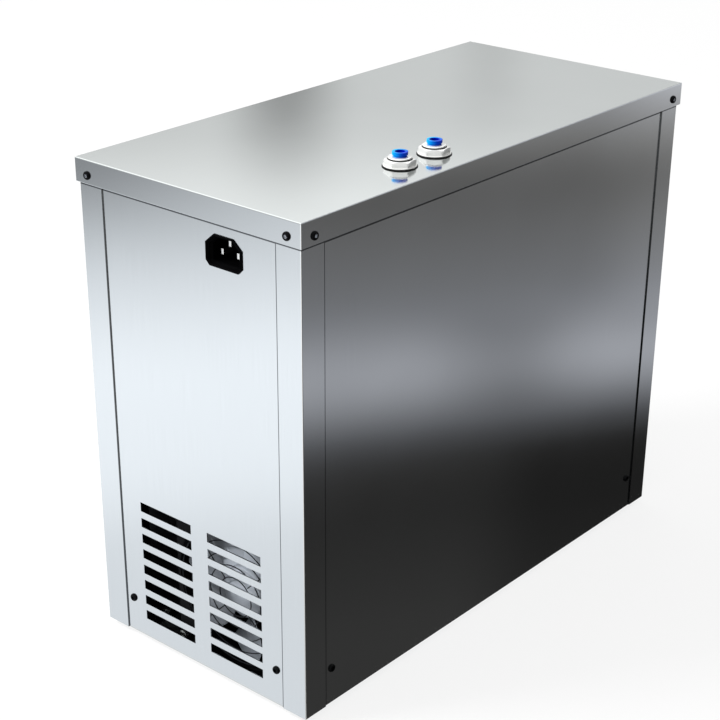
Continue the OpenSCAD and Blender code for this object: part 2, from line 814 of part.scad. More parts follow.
module evaporator_coil() {
    color("peru") pipe(coil_route(), coil_r, 6);
}

// One half of the foam block, turned half round for the upper one
module foam_half(up) {
    color("khaki") translate([0, foam_front + foam_l / 2, tank_z]) difference() {
        translate([-foam_w / 2, -foam_l / 2, up ? 0 : -foam_h / 2]) cube([foam_w, foam_l, foam_h / 2]);
        rotate([-90, 0, 0]) translate([0, 0, -tank_l / 2 - near])
            cylinder(r = cavity_r, h = tank_l + 2 * near);
        tail_chase(up ? 1 : -1);
        translate([stub_at[0], 0, (up ? 1 : -1) * stub_at[1]]) rotate([90, 0, 0])
            cylinder(r = bore_r, h = foam_l / 2 + cut);
        if (up) translate([0, 0, well_up]) rotate([-90, 0, 0])
            cylinder(r = bulb_r + near, h = foam_l / 2 + cut);
    }
}

// Groove beside the tank and the hole through one end for the coil's tail
module tail_chase(s) {
    translate([coil_mid - coil_r - near, -tank_l / 2, s > 0 ? 0 : -chase_z])
        cube([2 * (coil_r + near), tank_l, chase_z]);
    translate([coil_mid, 0, s * tail_drop]) rotate([s > 0 ? -90 : 90, 0, 0])
        cylinder(r = coil_r + near, h = foam_l / 2 + cut);
}
chase_z = tail_drop + coil_r + near;

// Bent sheet table that carries the tank over the compressor
module tank_stand() {
    leg_l = stand_leg[1] - stand_leg[0];
    color("gainsboro") difference() {
        union() {
            translate([-stand_x, foam_front - stand_edge, foam_z - stand_t])
                cube([2 * stand_x, foam_l + 2 * stand_edge, stand_t]);
            for (s = [-1, 1]) translate([s * stand_x - (s > 0 ? stand_t : 0), stand_leg[0], floor_z])
                cube([stand_t, leg_l, stand_rise]);
            for (s = [-1, 1])
                translate([s * (stand_x - stand_foot / 2) - stand_foot / 2, stand_leg[0], floor_z])
                cube([stand_foot, leg_l, stand_t]);
        }
        translate([-stand_x - cut, stand_leg[0] + window_in, floor_z + window_low])
            cube([2 * (stand_x + cut), leg_l - 2 * window_in, stand_rise - window_low - window_top]);
        for (p = stand_screws) translate(p) translate([0, 0, floor_z - cut])
            cylinder(r = bolt_hole_r, h = stand_t + 2 * cut);
        for (p = strap_screws) translate(p) translate([0, 0, -stand_t - cut])
            cylinder(r = bolt_hole_r, h = stand_t + 2 * cut);
    }
}
stand_screws = [for (s = [-1, 1]) for (y = [stand_leg[0] + stand_screw_in, stand_leg[1] - stand_screw_in])
    [s * (stand_x - stand_foot / 2 - stand_t / 2), y, 0]];
strap_screws = [for (s = [-1, 1]) for (y = strap_shares * foam_l)
    [s * (foam_w / 2 + near + strap_screw), foam_front + y, foam_z]];

// Two steel bands that hold the foam block down
module tank_straps() {
    half = foam_w / 2 + near;
    color("silver") for (y = strap_shares * foam_l) difference() {
        translate([0, foam_front + y - strap_w / 2, foam_z]) union() {
            difference() {
                translate([-half - strap_t, 0, 0])
                    cube([2 * (half + strap_t), strap_w, foam_h + near + strap_t]);
                translate([-half, -cut, -cut]) cube([2 * half, strap_w + 2 * cut, foam_h + near + cut]);
            }
            for (s = [-1, 1]) translate([s * (half + strap_foot / 2) - strap_foot / 2, 0, 0])
                cube([strap_foot, strap_w, strap_t]);
        }
        for (p = strap_screws) translate(p) translate([0, 0, -cut])
            cylinder(r = bolt_hole_r, h = strap_t + 2 * cut);
    }
}

module tank_unions() {
    color("white") for (s = [-1, 1])
        along_y(foam_front - union_gap - union_l, tank_z + s * stub_at[1], stub_at[0])
            ring(union_r, bore_r, union_l);
}

// Plastic tubes from the ports to the tank's stubs
function water_route(y, s) = [[port_x, y, top_z + tail_z - near], [port_x, y, tank_z + s * stub_at[1]],
    [stub_at[0], y, tank_z + s * stub_at[1]], [stub_at[0], tube_end, tank_z + s * stub_at[1]]];
tube_end = foam_front - stub_out - stub_gap;

module inlet_tube() {
    color("white") pipe(rounded(water_route(inlet_port_y, -1), tube_bend), tube_r, 12);
}

module outlet_tube() {
    color("white") pipe(rounded(water_route(outlet_port_y, 1), tube_bend), tube_r, 12);
}

// -- compressor

// Half of a deep cup with a rounded bottom edge, as a profile to revolve
function cup(r, h, round) = concat([[0, 0]],
    [for (a = [0:15:90]) [r - round + round * sin(a), round - round * cos(a)]], [[r, h], [0, h]]);

module at_compressor(z = comp_z) {
    translate([0, comp_y, z]) children();
}

module line_boss(x, s, z) {
    translate([x, 0, z]) rotate([s > 0 ? -90 : 90, 0, 0]) cylinder(r = stub_boss_r, h = shell_r + stub_boss);
}

module compressor_shell_lower() {
    color("#222") at_compressor() difference() {
        rotate_extrude() polygon(cup(shell_r, shell_split, shell_round));
        translate([0, 0, shell_t]) rotate_extrude()
            polygon(cup(shell_r - shell_t, shell_split, shell_round - shell_t));
    }
}

module compressor_shell_upper() {
    rise = shell_h - shell_split;
    color("#222") at_compressor(comp_z + shell_h) difference() {
        union() {
            mirror([0, 0, 1]) rotate_extrude() polygon(cup(shell_r, rise, shell_round));
            translate([0, 0, -rise - lap_h]) cylinder(r = shell_r + lap_t, h = lap_h * 2);
            line_boss(discharge_x, -1, discharge_z - comp_z - shell_h);
            line_boss(suction_x, 1, suction_z - comp_z - shell_h);
        }
        translate([0, 0, -shell_t]) mirror([0, 0, 1]) rotate_extrude()
            polygon(cup(shell_r - shell_t, rise, shell_round - shell_t));
        translate([0, 0, -rise - lap_h - cut]) cylinder(r = shell_r + motor_gap, h = lap_h + cut);
    }
}

module compressor_plate() {
    color("#222") at_compressor(comp_z - comp_plate[2]) difference() {
        translate([-comp_plate[0] / 2, -comp_plate[1] / 2, 0]) cube(comp_plate);
        for (c = corners) translate([c[0] * comp_bolt_at[0], c[1] * comp_bolt_at[1], -cut])
            cylinder(r = grommet_neck + near, h = comp_plate[2] + 2 * cut);
    }
}
comp_bolts = [for (c = corners) [c[0] * comp_bolt_at[0], comp_y + c[1] * comp_bolt_at[1], 0]];

module compressor_grommets() {
    color("#333") for (p = comp_bolts) translate(p) translate([0, 0, floor_z]) difference() {
        union() {
            cylinder(r = grommet_r, h = grommet_h);
            cylinder(r = grommet_neck, h = grommet_h + comp_plate[2] + grommet_lip);
            translate([0, 0, grommet_h + comp_plate[2]]) cylinder(r = grommet_r, h = grommet_lip);
        }
        translate([0, 0, -cut])
            cylinder(r = comp_bolt_r + slip, h = grommet_h + comp_plate[2] + grommet_lip + 2 * cut);
    }
}

// Plastic cap over the compressor's terminals, hollow towards the shell
module terminal_cover() {
    reach = shell_r + cover[0];
    color("#333") at_compressor(cover_z) difference() {
        translate([0, -cover[1] / 2, 0]) cube([reach, cover[1], cover[2]]);
        translate([-cut, -cover[1] / 2 + cover_t, cover_t])
            cube([reach - cover_t + cut, cover[1] - 2 * cover_t, cover[2] - 2 * cover_t]);
        translate([0, 0, -cut]) cylinder(r = shell_r + lap_t + near, h = cover[2] + 2 * cut);
    }
}

module motor_stator() {
    color("peru") at_compressor(comp_z + stator_z)
        ring(shell_r - shell_t - motor_gap, stator_bore, stator_h);
}

// Rotor core, shaft and the eccentric roller that sweeps the pump's chamber
module motor_rotor() {
    color("silver") at_compressor() {
        translate([0, 0, bearing_z - near]) cylinder(r = shaft_r, h = stator_z + stator_h);
        translate([0, 0, stator_z]) cylinder(r = stator_bore - air_gap, h = stator_h);
        translate([eccentric, 0, bearing_z + bearing_t + near])
            cylinder(r = roller_r, h = chamber_h - 2 * near);
    }
}

// Cylinder of the rotary pump with a bearing at each end
module pump_cylinder() {
    h = chamber_h + 2 * bearing_t;
    color("gray") at_compressor(comp_z + bearing_z) difference() {
        cylinder(r = pump_r, h = h);
        translate([0, 0, -cut]) cylinder(r = shaft_r + run, h = h + 2 * cut);
        translate([0, 0, bearing_t]) cylinder(r = chamber_r, h = chamber_h);
    }
}

// -- condenser and fan

function pass_row(k) = floor((k + 1) / 2) % 2;
function pass_y(k) = cond_y + cond_d / 2 + (pass_row(k) == 0 ? row_pitch : -row_pitch) / 2;
function pass_z(k) = cond_z + cond_h / 2 + ((level_count - 1) / 2 - floor(k / 2)) * level_pitch;
function pass_side(k) = k % 2 == 0 ? 1 : -1;

module pass_holes(r, x, l) {
    for (k = [0:pass_count - 1]) translate([x, pass_y(k), pass_z(k)]) rotate([0, 90, 0])
        cylinder(r = r, h = l, $fn = 24);
}

// Thin aluminium fins, the tubes pass through all of them
module condenser_fins() {
    pitch = (cond_w - fin_t) / (fin_count - 1);
    color("silver") difference() {
        for (i = [0:fin_count - 1]) translate([-cond_w / 2 + i * pitch, cond_y, cond_z])
            cube([fin_t, cond_d, cond_h]);
        pass_holes(cond_tube_r + slip, -cond_w / 2 - cut, cond_w + 2 * cut);
    }
}

// One unbroken tube that runs to and fro through the fins from top to bottom
function bend_point(k) = [pass_side(k) * (cond_end + (k % 2 == 0 ? row_pitch : level_pitch) / 2),
    pass_y(k), pass_z(k)];
function serpentine() = [for (k = [0:pass_count - 1]) each concat(
    k == 0 ? [[-cond_end, pass_y(0), pass_z(0)]]
        : [[-pass_side(k) * abs(bend_point(k - 1)[0]), pass_y(k), pass_z(k)]],
    k == pass_count - 1 ? [[-cond_end, pass_y(k), pass_z(k)]] : [bend_point(k)])];

module condenser_tube() {
    route = serpentine();
    n = len(route);
    color("peru") pipe(concat([route[0]],
        [for (i = [1:n - 2]) each arc(route[i - 1], route[i], route[i + 1],
            norm(route[i + (i % 2 == 1 ? 1 : -1)] - route[i]) / 2, 4)], [route[n - 1]]), cond_tube_r, 8);
}

// Sheet ends that hold the fins' tubes and stand on the tray
module condenser_end_plates() {
    color("silver") difference() {
        for (s = [-1, 1]) {
            translate([s * (cond_w / 2 + end_t / 2) - end_t / 2, cond_y, floor_z])
                cube([end_t, cond_d, cond_h + 2 * cond_rise]);
            translate([s * (cond_w / 2 + end_foot / 2) - end_foot / 2, cond_y, floor_z])
                cube([end_foot, cond_d, end_t]);
        }
        pass_holes(cond_tube_r + slip, -cond_w / 2 - end_t - cut, cond_w + 2 * end_t + 2 * cut);
        for (p = end_screws) translate(p) translate([0, 0, floor_z - cut])
            cylinder(r = bolt_hole_r, h = end_t + 2 * cut);
    }
}
end_screws = [for (s = [-1, 1]) for (y = end_screw_shares * cond_d)
    [s * (cond_w / 2 + end_foot - bolt_head_r), cond_y + y, 0]];
floor_screws = concat(stand_screws, end_screws);

module at_fan(y) {
    translate([fan_x, y, fan_z]) rotate([-90, 0, 0]) children();
}

fan_holes = [for (c = corners) [c[0] * fan_hole, c[1] * fan_hole, 0]];

// Sheet box that leads the condenser's air to the fan
module fan_shroud() {
    low = floor_z + shroud_rise;
    h = cond_h + 2 * cond_rise - shroud_rise;
    color("#333") difference() {
        translate([-shroud_w / 2, shroud_y, low]) cube([shroud_w, shroud_d, h]);
        translate([-shroud_w / 2 + sheet, shroud_y + sheet, low + sheet])
            cube([shroud_w - 2 * sheet, shroud_d - 2 * sheet, h - 2 * sheet]);
        translate([-cond_w / 2, shroud_y + sheet, low + cond_rise])
            cube([cond_w, shroud_d, h - 2 * cond_rise]);
        at_fan(shroud_y - cut) cylinder(r = fan_bore, h = sheet + 2 * cut);
        at_fan(shroud_y - cut) for (p = fan_holes) translate(p)
            cylinder(r = fan_screw_r + slip, h = sheet + 2 * cut);
    }
}

module fan_frame() {
    color("#222") at_fan(fan_y) difference() {
        union() {
            difference() {
                translate([-fan_size / 2, -fan_size / 2, 0]) cube([fan_size, fan_size, fan_t]);
                translate([0, 0, -cut]) cylinder(r = fan_bore, h = fan_t + 2 * cut);
            }
            translate([0, 0, fan_t - spoke_t]) cylinder(r = pad_r, h = spoke_t);
            for (a = [0, 90]) rotate([0, 0, a + 30])
                translate([-fan_bore - spoke_t / 3, -spoke_w / 2, fan_t - spoke_t])
                    cube([2 * fan_bore + spoke_t * 2 / 3, spoke_w, spoke_t]);
        }
        for (p = fan_holes) translate(p) translate([0, 0, -cut])
            cylinder(r = fan_screw_r + slip, h = fan_t + 2 * cut);
        translate([0, 0, fan_t - spoke_t - cut]) cylinder(r = fan_axle + near, h = spoke_t + 2 * cut);
    }
}

// Wire finger guard: rings on two crossed rods, with an eye at each corner
module fan_guard() {
    rings = ring_shares * fan_bore;
    color("silver") at_fan(guard_y) difference() {
        union() {
            for (r = rings) translate([0, 0, guard_t / 2 - guard_wire]) rotate_extrude()
                translate([r, 0]) circle(r = guard_wire, $fn = 16);
            for (a = [45:90:315]) rotate([0, 0, a])
                translate([rings[0] - guard_wire / 2, 0, guard_t / 2 + guard_wire / 4])
                    rotate([0, 90, 0]) cylinder(r = guard_wire, h = fan_hole * sqrt(2) - rings[0], $fn = 16);
            for (p = fan_holes) translate(p) cylinder(r = eye_r, h = guard_t);
        }
        for (p = fan_holes) translate(p) translate([0, 0, -cut])
            cylinder(r = fan_screw_r + slip, h = guard_t + 2 * cut);
    }
}

module fan_stator() {
    color("peru") at_fan(fan_y + fan_t - spoke_t - hub_l + 2 * hub_wall)
        ring(hub_r - hub_wall - 4 * near, fan_axle + run, hub_l - 2 * hub_wall);
}

// Cup over the stator with pitched blades; its axle runs in the stator
module fan_rotor() {
    back = fan_t - spoke_t - near * 2;
    color("gainsboro") at_fan(fan_y) {
        difference() {
            translate([0, 0, back - hub_l]) cylinder(r = hub_r, h = hub_l);
            translate([0, 0, back - hub_l + hub_wall]) cylinder(r = hub_r - hub_wall, h = hub_l);
        }
        translate([0, 0, back - hub_l]) cylinder(r = fan_axle, h = hub_l);
        for (i = [0:fan_blades - 1]) rotate([0, 0, 360 * i / fan_blades]) blade(back - hub_l / 2);
    }
}

module blade(z) {
    intersection() {
        translate([hub_r / 2, 0, z]) rotate([blade_angle, 0, 0])
            translate([0, -blade_chord / 2, -blade_t / 2]) cube([fan_bore, blade_chord, blade_t]);
        translate([0, 0, z - blade_chord / 2]) ring(fan_bore - fan_tip, hub_r - hub_wall / 2, blade_chord);
    }
}

// -- refrigerant lines

module filter_drier() {
    color("peru") translate([-line_x, drier_y, drier_z]) rotate_extrude()
        polygon([[0, -drier_neck], [line_r, -drier_neck], [line_r, 0], [drier_r, drier_neck],
            [drier_r, drier_l - drier_neck], [line_r, drier_l], [line_r, drier_l + drier_neck],
            [0, drier_l + drier_neck]]);
}

module liquid_line() {
    z = pass_z(pass_count - 1);
    y = pass_y(pass_count - 1);
    color("peru") pipe(rounded([[-cond_end, y, z], [-line_x, y, z], [-line_x, y, floor_z + low_line],
        [-line_x, drier_y, floor_z + low_line],
        [-line_x, drier_y, drier_z - drier_neck]], line_bend), line_r);
}

module discharge_line() {
    y = drier_y - drier_r - 3 * line_r;
    color("peru") pipe(rounded([[discharge_x, comp_y - shell_r - stub_boss, discharge_z],
        [discharge_x, y, discharge_z], [-line_x, y, discharge_z], [-line_x, y, pass_z(0)],
        [-line_x, pass_y(0), pass_z(0)], [-cond_end, pass_y(0), pass_z(0)]], line_bend), line_r);
}

module suction_line() {
    color("peru") pipe(rounded([[coil_mid, foam_back + tail_out, tank_z + tail_drop],
        [coil_mid, suction_y, tank_z + tail_drop], [coil_mid, suction_y, suction_z],
        [suction_x, suction_y, suction_z], [suction_x, comp_y + shell_r + stub_boss, suction_z]],
        2 * suction_r - near), suction_r);
}

// Thin throttling tube with a few spare loops, from the drier to the coil
function cap_route() = let (x = -line_x, z = drier_z + drier_l + drier_neck,
    y = drier_y - cap_bend - 2 * cap_r,
        zc = z + cap_rise, ze = zc + cap_turns * cap_lift, yc = y - 2 * cap_bend) concat(
    rounded([[x, drier_y, z], [x, drier_y, zc], [x, y, zc]], cap_bend),
    [for (i = [1:360 / cap_angle * cap_turns - 1]) let (a = 180 + cap_angle * i)
        [x + cap_coil_r + cap_coil_r * cos(a), y + cap_coil_r * sin(a),
            zc + cap_lift * a / 360 - cap_lift / 2]],
    rounded([[x, y, ze], [x, yc, ze], [coil_mid, yc, ze], [coil_mid, cap_end, ze],
        [coil_mid, cap_end, tank_z - tail_drop],
        [coil_mid, foam_front - tail_out, tank_z - tail_drop]], cap_bend));
cap_end = foam_front - 3 * cap_bend;

module capillary_tube() {
    color("peru") pipe(cap_route(), cap_r, 6);
}

// -- thermostat and wiring

module thermostat_body() {
    color("#ddd") difference() {
        union() {
            translate([stat_x - stat[0] / 2, in_y - stat[1], stat_z - stat[2] / 2]) cube(stat);
            along_y(in_y - cut, stat_z, stat_x) cylinder(r = bush_r, h = sheet + cut + stat_nut_h);
        }
        along_y(in_y - stat[1] / 2, stat_z, stat_x) cylinder(r = spindle_r + run, h = stat[1]);
    }
}

module thermostat_nut() {
    color("silver") along_y(in_y + sheet, stat_z, stat_x) difference() {
        hex(2 * stat_nut_r * cos(30), stat_nut_h);
        translate([0, 0, -cut]) cylinder(r = bush_r + run, h = stat_nut_h + 2 * cut);
    }
}

// Screwdriver-slotted spindle that sets the temperature
module thermostat_spindle() {
    l = stat[1] / 2 + sheet + stat_nut_h + spindle_out - near;
    color("gray") along_y(in_y - stat[1] / 2 + near, stat_z, stat_x) difference() {
        cylinder(r = spindle_r, h = l);
        translate([-spindle_r - cut, -spindle_slot / 2, l - spindle_out])
            cube([2 * (spindle_r + cut), spindle_slot, spindle_out + cut]);
    }
}

// Thin sensing tube and the bulb in the tank's probe pocket
module thermostat_sensor() {
    y = suction_y - 5 * cap_r;
    bulb_y = tank_y + tank_l - well_l + near;
    color("peru") {
        pipe(rounded([[stat_x, y, stat_z + stat[2] / 2], [stat_x, y, tank_z + well_up],
            [0, y, tank_z + well_up], [0, tank_y + tank_l - near, tank_z + well_up]], cap_bend), cap_r, 6);
        along_y(bulb_y, tank_z + well_up) cylinder(r = bulb_r, h = well_l - near);
    }
}

// Mains cable, thermostat lead and fan lead, all to the terminal cover
module wiring() {
    inlet_back = inlet_y + barrel_d + tab[2];
    cover_front = comp_y - cover[1] / 2;
    low = cover_z + cover[2] / 3;
    high = cover_z + cover[2] * 2 / 3;
    lead_x = cover_x - cable_r - 2 * lead_r + near;
    turn_y = foam_front - cable_turn;
    color("black") {
        pipe(rounded([[inlet_x, inlet_back, inlet_z], [inlet_x, inlet_back + 3 * cable_bend, inlet_z],
            [cable_x, inlet_back + 3 * cable_bend, inlet_z], [cable_x, turn_y, inlet_z],
            [cover_x, turn_y, low], [cover_x, cover_front, low]], cable_bend), cable_r);
        pipe(rounded([[stat_x + stat[0] / 2, in_y - stat[1] + 2 * lead_r, stat_z],
            [cover_x, in_y - stat[1] + 2 * lead_r, stat_z], [cover_x, in_y - stat[1] + 2 * lead_r, low],
            [cover_x, comp_y + cover[1] / 2, low]], cable_bend), lead_r);
        pipe(rounded([[lead_x, fan_y + fan_t / 2, fan_z + fan_size / 2],
            [lead_x, fan_y + fan_t / 2, fan_z + fan_size / 2 + 2 * cable_bend],
            [lead_x, turn_y - cable_bend, fan_z + fan_size / 2 + 2 * cable_bend],
            [lead_x, turn_y - cable_bend, high], [lead_x, cover_front, high]], cable_bend), lead_r);
    }
}

// Pan-head screw pointing down, its head resting on z = 0
module pan_screw(r, l) {
    translate([0, 0, -l]) cylinder(r = r, h = l + near);
    cylinder(r = bolt_head_r, h = bolt_head_h);
}

module chassis_screws() {
    color("silver") {
        for (p = floor_screws) translate(p) translate([0, 0, floor_z + end_t])
            pan_screw(bolt_r, end_t + tray_t + bolt_head_h);
        for (p = strap_screws) translate(p) translate([0, 0, strap_t])
            pan_screw(bolt_r, strap_t + stand_t + bolt_head_h);
        at_fan(guard_y) for (p = fan_holes) translate(p) mirror([0, 0, 1])
            pan_screw(fan_screw_r, guard_t + fan_t + sheet + bolt_head_h);
        for (p = comp_bolts) translate(p) {
            translate([0, 0, foot_h])
                cylinder(r = comp_bolt_r, h = comp_z + grommet_lip + bolt_nut_h + near - foot_h);
            translate([0, 0, foot_h - bolt_head_h]) cylinder(r = 2 * comp_bolt_r, h = bolt_head_h);
            translate([0, 0, comp_z + grommet_lip]) hex(4 * comp_bolt_r, bolt_nut_h);
        }
    }
}

base_tray();
post(corners[0]);  // front_left_post
post(corners[1]);  // front_right_post
post(corners[2]);  // rear_left_post
post(corners[3]);  // rear_right_post
front_panel();
rear_panel();
side_panel("left");  // left_panel
side_panel("right");  // right_panel
lid();
casing_screws();
feet();
foot_bolts();
inlet_body();
inlet_pins();
fitting(inlet_port_y);  // inlet_fitting
fitting(outlet_port_y);  // outlet_fitting
fitting_gaskets();
fitting_nuts();
collet(inlet_port_y);  // inlet_collet
collet(outlet_port_y);  // outlet_collet
fitting_orings();
grab_rings();
tank();
foam_half(false);  // foam_lower
foam_half(true);  // foam_upper
evaporator_coil();
tank_stand();
tank_straps();
chassis_screws();
inlet_tube();
outlet_tube();
tank_unions();
compressor_shell_lower();
compressor_shell_upper();
compressor_plate();
compressor_grommets();
terminal_cover();
motor_stator();
motor_rotor();
pump_cylinder();
condenser_fins();
condenser_tube();
condenser_end_plates();
fan_shroud();
fan_frame();
fan_guard();
fan_stator();
fan_rotor();
filter_drier();
capillary_tube();
suction_line();
discharge_line();
liquid_line();
wiring();
thermostat_body();
thermostat_nut();
thermostat_spindle();
thermostat_sensor();
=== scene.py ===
import json
from math import cos, pi, radians, sin

import bmesh
import bpy
import numpy as np
from mathutils import Euler, Matrix, Vector


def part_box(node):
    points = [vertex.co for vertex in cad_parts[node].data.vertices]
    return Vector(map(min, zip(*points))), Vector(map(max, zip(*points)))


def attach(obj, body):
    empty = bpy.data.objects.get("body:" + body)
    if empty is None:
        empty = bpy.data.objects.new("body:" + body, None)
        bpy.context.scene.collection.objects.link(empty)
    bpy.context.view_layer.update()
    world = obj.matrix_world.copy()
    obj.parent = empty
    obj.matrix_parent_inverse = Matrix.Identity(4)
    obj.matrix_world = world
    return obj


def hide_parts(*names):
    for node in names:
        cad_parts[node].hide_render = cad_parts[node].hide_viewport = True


# Under-sink water chiller: a screwed stainless casing with two push-fit ports on
# the lid and a mains inlet over the front vents. Metres, same frame as the CAD.
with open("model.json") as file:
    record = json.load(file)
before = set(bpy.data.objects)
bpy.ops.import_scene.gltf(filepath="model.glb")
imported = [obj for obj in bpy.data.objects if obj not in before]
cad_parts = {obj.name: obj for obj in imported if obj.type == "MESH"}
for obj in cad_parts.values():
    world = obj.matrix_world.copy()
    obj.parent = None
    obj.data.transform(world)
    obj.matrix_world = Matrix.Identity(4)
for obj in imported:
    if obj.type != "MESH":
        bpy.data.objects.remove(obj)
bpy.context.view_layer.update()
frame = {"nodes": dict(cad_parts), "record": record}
nodes = frame["nodes"]
slotOf = {part["node"]: part["material_slot"] for part in frame["record"]["subparts"]}
bodies = frame["record"]["behaviour"]["bodies"]
bodyOf = {node: body for body, members in bodies.items() for node in members}
mm = 0.001
touch = 0.02 * mm                                       # nearer places count as the same
print("frame loaded:", len(nodes), "nodes")


# Places taken from the frame, in metres
def boxOf(node):
    # Lowest and highest corner of a node as numpy arrays
    return [np.array(corner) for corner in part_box(node)]


lidLow, lidHigh = boxOf("lid")
flangeLow = lidLow[2]                                   # lower edge of the lid's flange
panelFace = [boxOf("right_panel")[1][0], boxOf("rear_panel")[1][1]]  # side and end, from the middle
postHigh = boxOf("rear_right_post")[1]
postLeg = 21                                            # width of a post seen on each face
postEdge = [float(postHigh[axis]) - postLeg * mm for axis in (0, 1)]
portAt = {}                                             # the ports' axes on the lid's top
for port in ("inlet", "outlet"):
    middle = sum(boxOf(port + "_collet")) / 2
    portAt[port] = np.array([middle[0], middle[1], lidHigh[2]])


# Shader tools

def colour(code):
    # sRGB hex to linear light, as sockets expect
    parts = np.array([int(code[i:i + 2], 16) for i in (1, 3, 5)]) / 255
    linear = np.where(parts <= 0.04045, parts / 12.92, ((parts + 0.055) / 1.055) ** 2.4)
    return (*linear.tolist(), 1.0)


def addNode(tree, kind, wires, **settings):
    # One node: settings are its own options, wires its sockets' values or sources
    node = tree.nodes.new("ShaderNode" + kind)
    for key, value in settings.items():
        setattr(node, key, value)
    for socket, source in wires.items():
        if isinstance(source, bpy.types.NodeSocket):
            tree.links.new(source, node.inputs[socket])
        else:
            node.inputs[socket].default_value = source
    return node


def newMaterial(name, **sockets):
    # Material with one Principled shader; sockets that are uniform are set on it
    material = bpy.data.materials.new(name)
    material.use_nodes = True
    tree = material.node_tree
    shader = tree.nodes["Principled BSDF"]
    for socket, value in sockets.items():
        shader.inputs[socket.replace("_", " ")].default_value = value
    return material, tree, shader


def objectPlace(tree, scale=(1, 1, 1)):
    # Object coordinates in metres, stretched by scale
    place = addNode(tree, "TexCoord", {})
    return addNode(tree, "Mapping", {"Vector": place.outputs["Object"], "Scale": scale}).outputs[0]


def noise(tree, place, size, detail=3.0, roughness=0.5):
    # Noise whose lumps are about size millimetres wide
    return addNode(tree, "TexNoise", {"Vector": place, "Scale": 1 / (size * mm), "Detail": detail,
                                      "Roughness": roughness}).outputs["Fac"]


def between(tree, factor, low, high, start=0.3, stop=0.7, smooth="LINEAR"):
    # Number that goes from low to high as the factor goes from start to stop
    return addNode(tree, "MapRange", {"Value": factor, "From Min": start, "From Max": stop,
                                      "To Min": low, "To Max": high}, interpolation_type=smooth).outputs[0]


def calculate(tree, operation, first, second=0.0):
    # One step of arithmetic on one or two numbers
    return addNode(tree, "Math", {0: first, 1: second}, operation=operation).outputs[0]


def twoColours(tree, factor, first, second, start=0.3, stop=0.7):
    # Colour that goes from first to second as the factor goes from start to stop
    ramp = addNode(tree, "ValToRGB", {"Fac": factor})
    for element, place, code in zip(ramp.color_ramp.elements, (start, stop), (first, second)):
        element.position = place
        element.color = colour(code)
    return ramp.outputs[0]


def mixed(tree, factor, first, second):
    # Colour that goes from first to second with the factor
    node = addNode(tree, "Mix", {0: factor}, data_type="RGBA")
    for socket, source in ((6, first), (7, second)):
        if isinstance(source, bpy.types.NodeSocket):
            tree.links.new(source, node.inputs[socket])
        else:
            node.inputs[socket].default_value = colour(source)
    return node.outputs[2]


def bump(tree, shader, height, depth, strength=1.0):
    # Relief of depth millimetres
    relief = addNode(tree, "Bump", {"Height": height, "Distance": depth * mm, "Strength": strength})
    tree.links.new(relief.outputs[0], shader.inputs["Normal"])


# Materials

def brushedStainless(name, along, rough, paintedShadeBands, cuts=()):
    # 304 stainless sheet with a fine satin brush along one axis: it mirrors its
    # surroundings softly and the brush shows only close to. Painted shade lies dark
    # along the seams, standing in for the shade that the edge of the covering sheet
    # casts: each band is a direction, the reach along it where the painted shade starts
    # and the reach where it is darkest. A cut is an axis and the distance from the
    # middle at which the leg of a post ends; its cut edge gets the same painted shade,
    # which fades out in the cut band past it. Places are in metres, the look's lengths
    # in millimetres
    look = dict(tint="#cdd0d0", shade="#cacdcd", brush=0.5, stroke=40, cloud=90, relief=0.0008,
                paintedShadeBand="#33363a", paintedShadeDepth=0.85, cutBand=(0.2, 0.3))
    material, tree, shader = newMaterial(name, Metallic=1.0)
    stretch = [1.0, 1.0, 1.0]
    stretch[along] = look["brush"] / look["stroke"]
    strokes = noise(tree, objectPlace(tree, stretch), look["brush"], 4)
    cloud = noise(tree, objectPlace(tree), look["cloud"], 2)
    sheet = twoColours(tree, strokes, look["tint"], look["shade"])
    place = objectPlace(tree)
    dark = 0.0
    for way, start, stop in paintedShadeBands:
        reach = addNode(tree, "VectorMath", {0: place, 1: way}, operation="DOT_PRODUCT").outputs["Value"]
        line = between(tree, reach, 0, look["paintedShadeDepth"], start, stop, "SMOOTHSTEP")
        dark = calculate(tree, "MAXIMUM", dark, line)
    away = addNode(tree, "VectorMath", {0: place}, operation="ABSOLUTE").outputs[0]
    for axis, edge in cuts:
        reach = addNode(tree, "SeparateXYZ", {0: away}).outputs[axis]
        start, stop = [edge + step * mm for step in look["cutBand"]]
        line = between(tree, reach, look["paintedShadeDepth"], 0, start, stop)
        dark = calculate(tree, "MAXIMUM", dark, line)
    # Painted shade: the dark colour is mixed into the sheet along the seams and the cut edges
    if paintedShadeBands:
        sheet = mixed(tree, dark, sheet, look["paintedShadeBand"])
    tree.links.new(sheet, shader.inputs["Base Color"])
    tree.links.new(between(tree, cloud, *rough), shader.inputs["Roughness"])
    bump(tree, shader, strokes, look["relief"])
    return material


def drawnStainless():
    # Deep-drawn tank shell, smooth with faint draw lines round it
    material, tree, shader = newMaterial("drawn stainless", Metallic=1.0, Roughness=0.22)
    lines = noise(tree, objectPlace(tree, (1, 0.05, 1)), 2.0, 2)
    tree.links.new(twoColours(tree, lines, "#bcbfc0", "#cccdcc"), shader.inputs["Base Color"])
    bump(tree, shader, lines, 0.01)
    return material


def galvanisedSheet():
    # Hot-dip zinc on steel: dull grey with crystal spangle about 9 mm across
    material, tree, shader = newMaterial("galvanised steel", Metallic=1.0)
    cells = addNode(tree, "TexVoronoi", {"Vector": objectPlace(tree), "Scale": 1 / (9 * mm),
                                         "Randomness": 1.0})
    grey = addNode(tree, "SeparateColor", {"Color": cells.outputs["Color"]}).outputs[0]
    tree.links.new(twoColours(tree, grey, "#8f9496", "#aeb3b5"), shader.inputs["Base Color"])
    tree.links.new(between(tree, grey, 0.32, 0.5, 0, 1), shader.inputs["Roughness"])
    return material


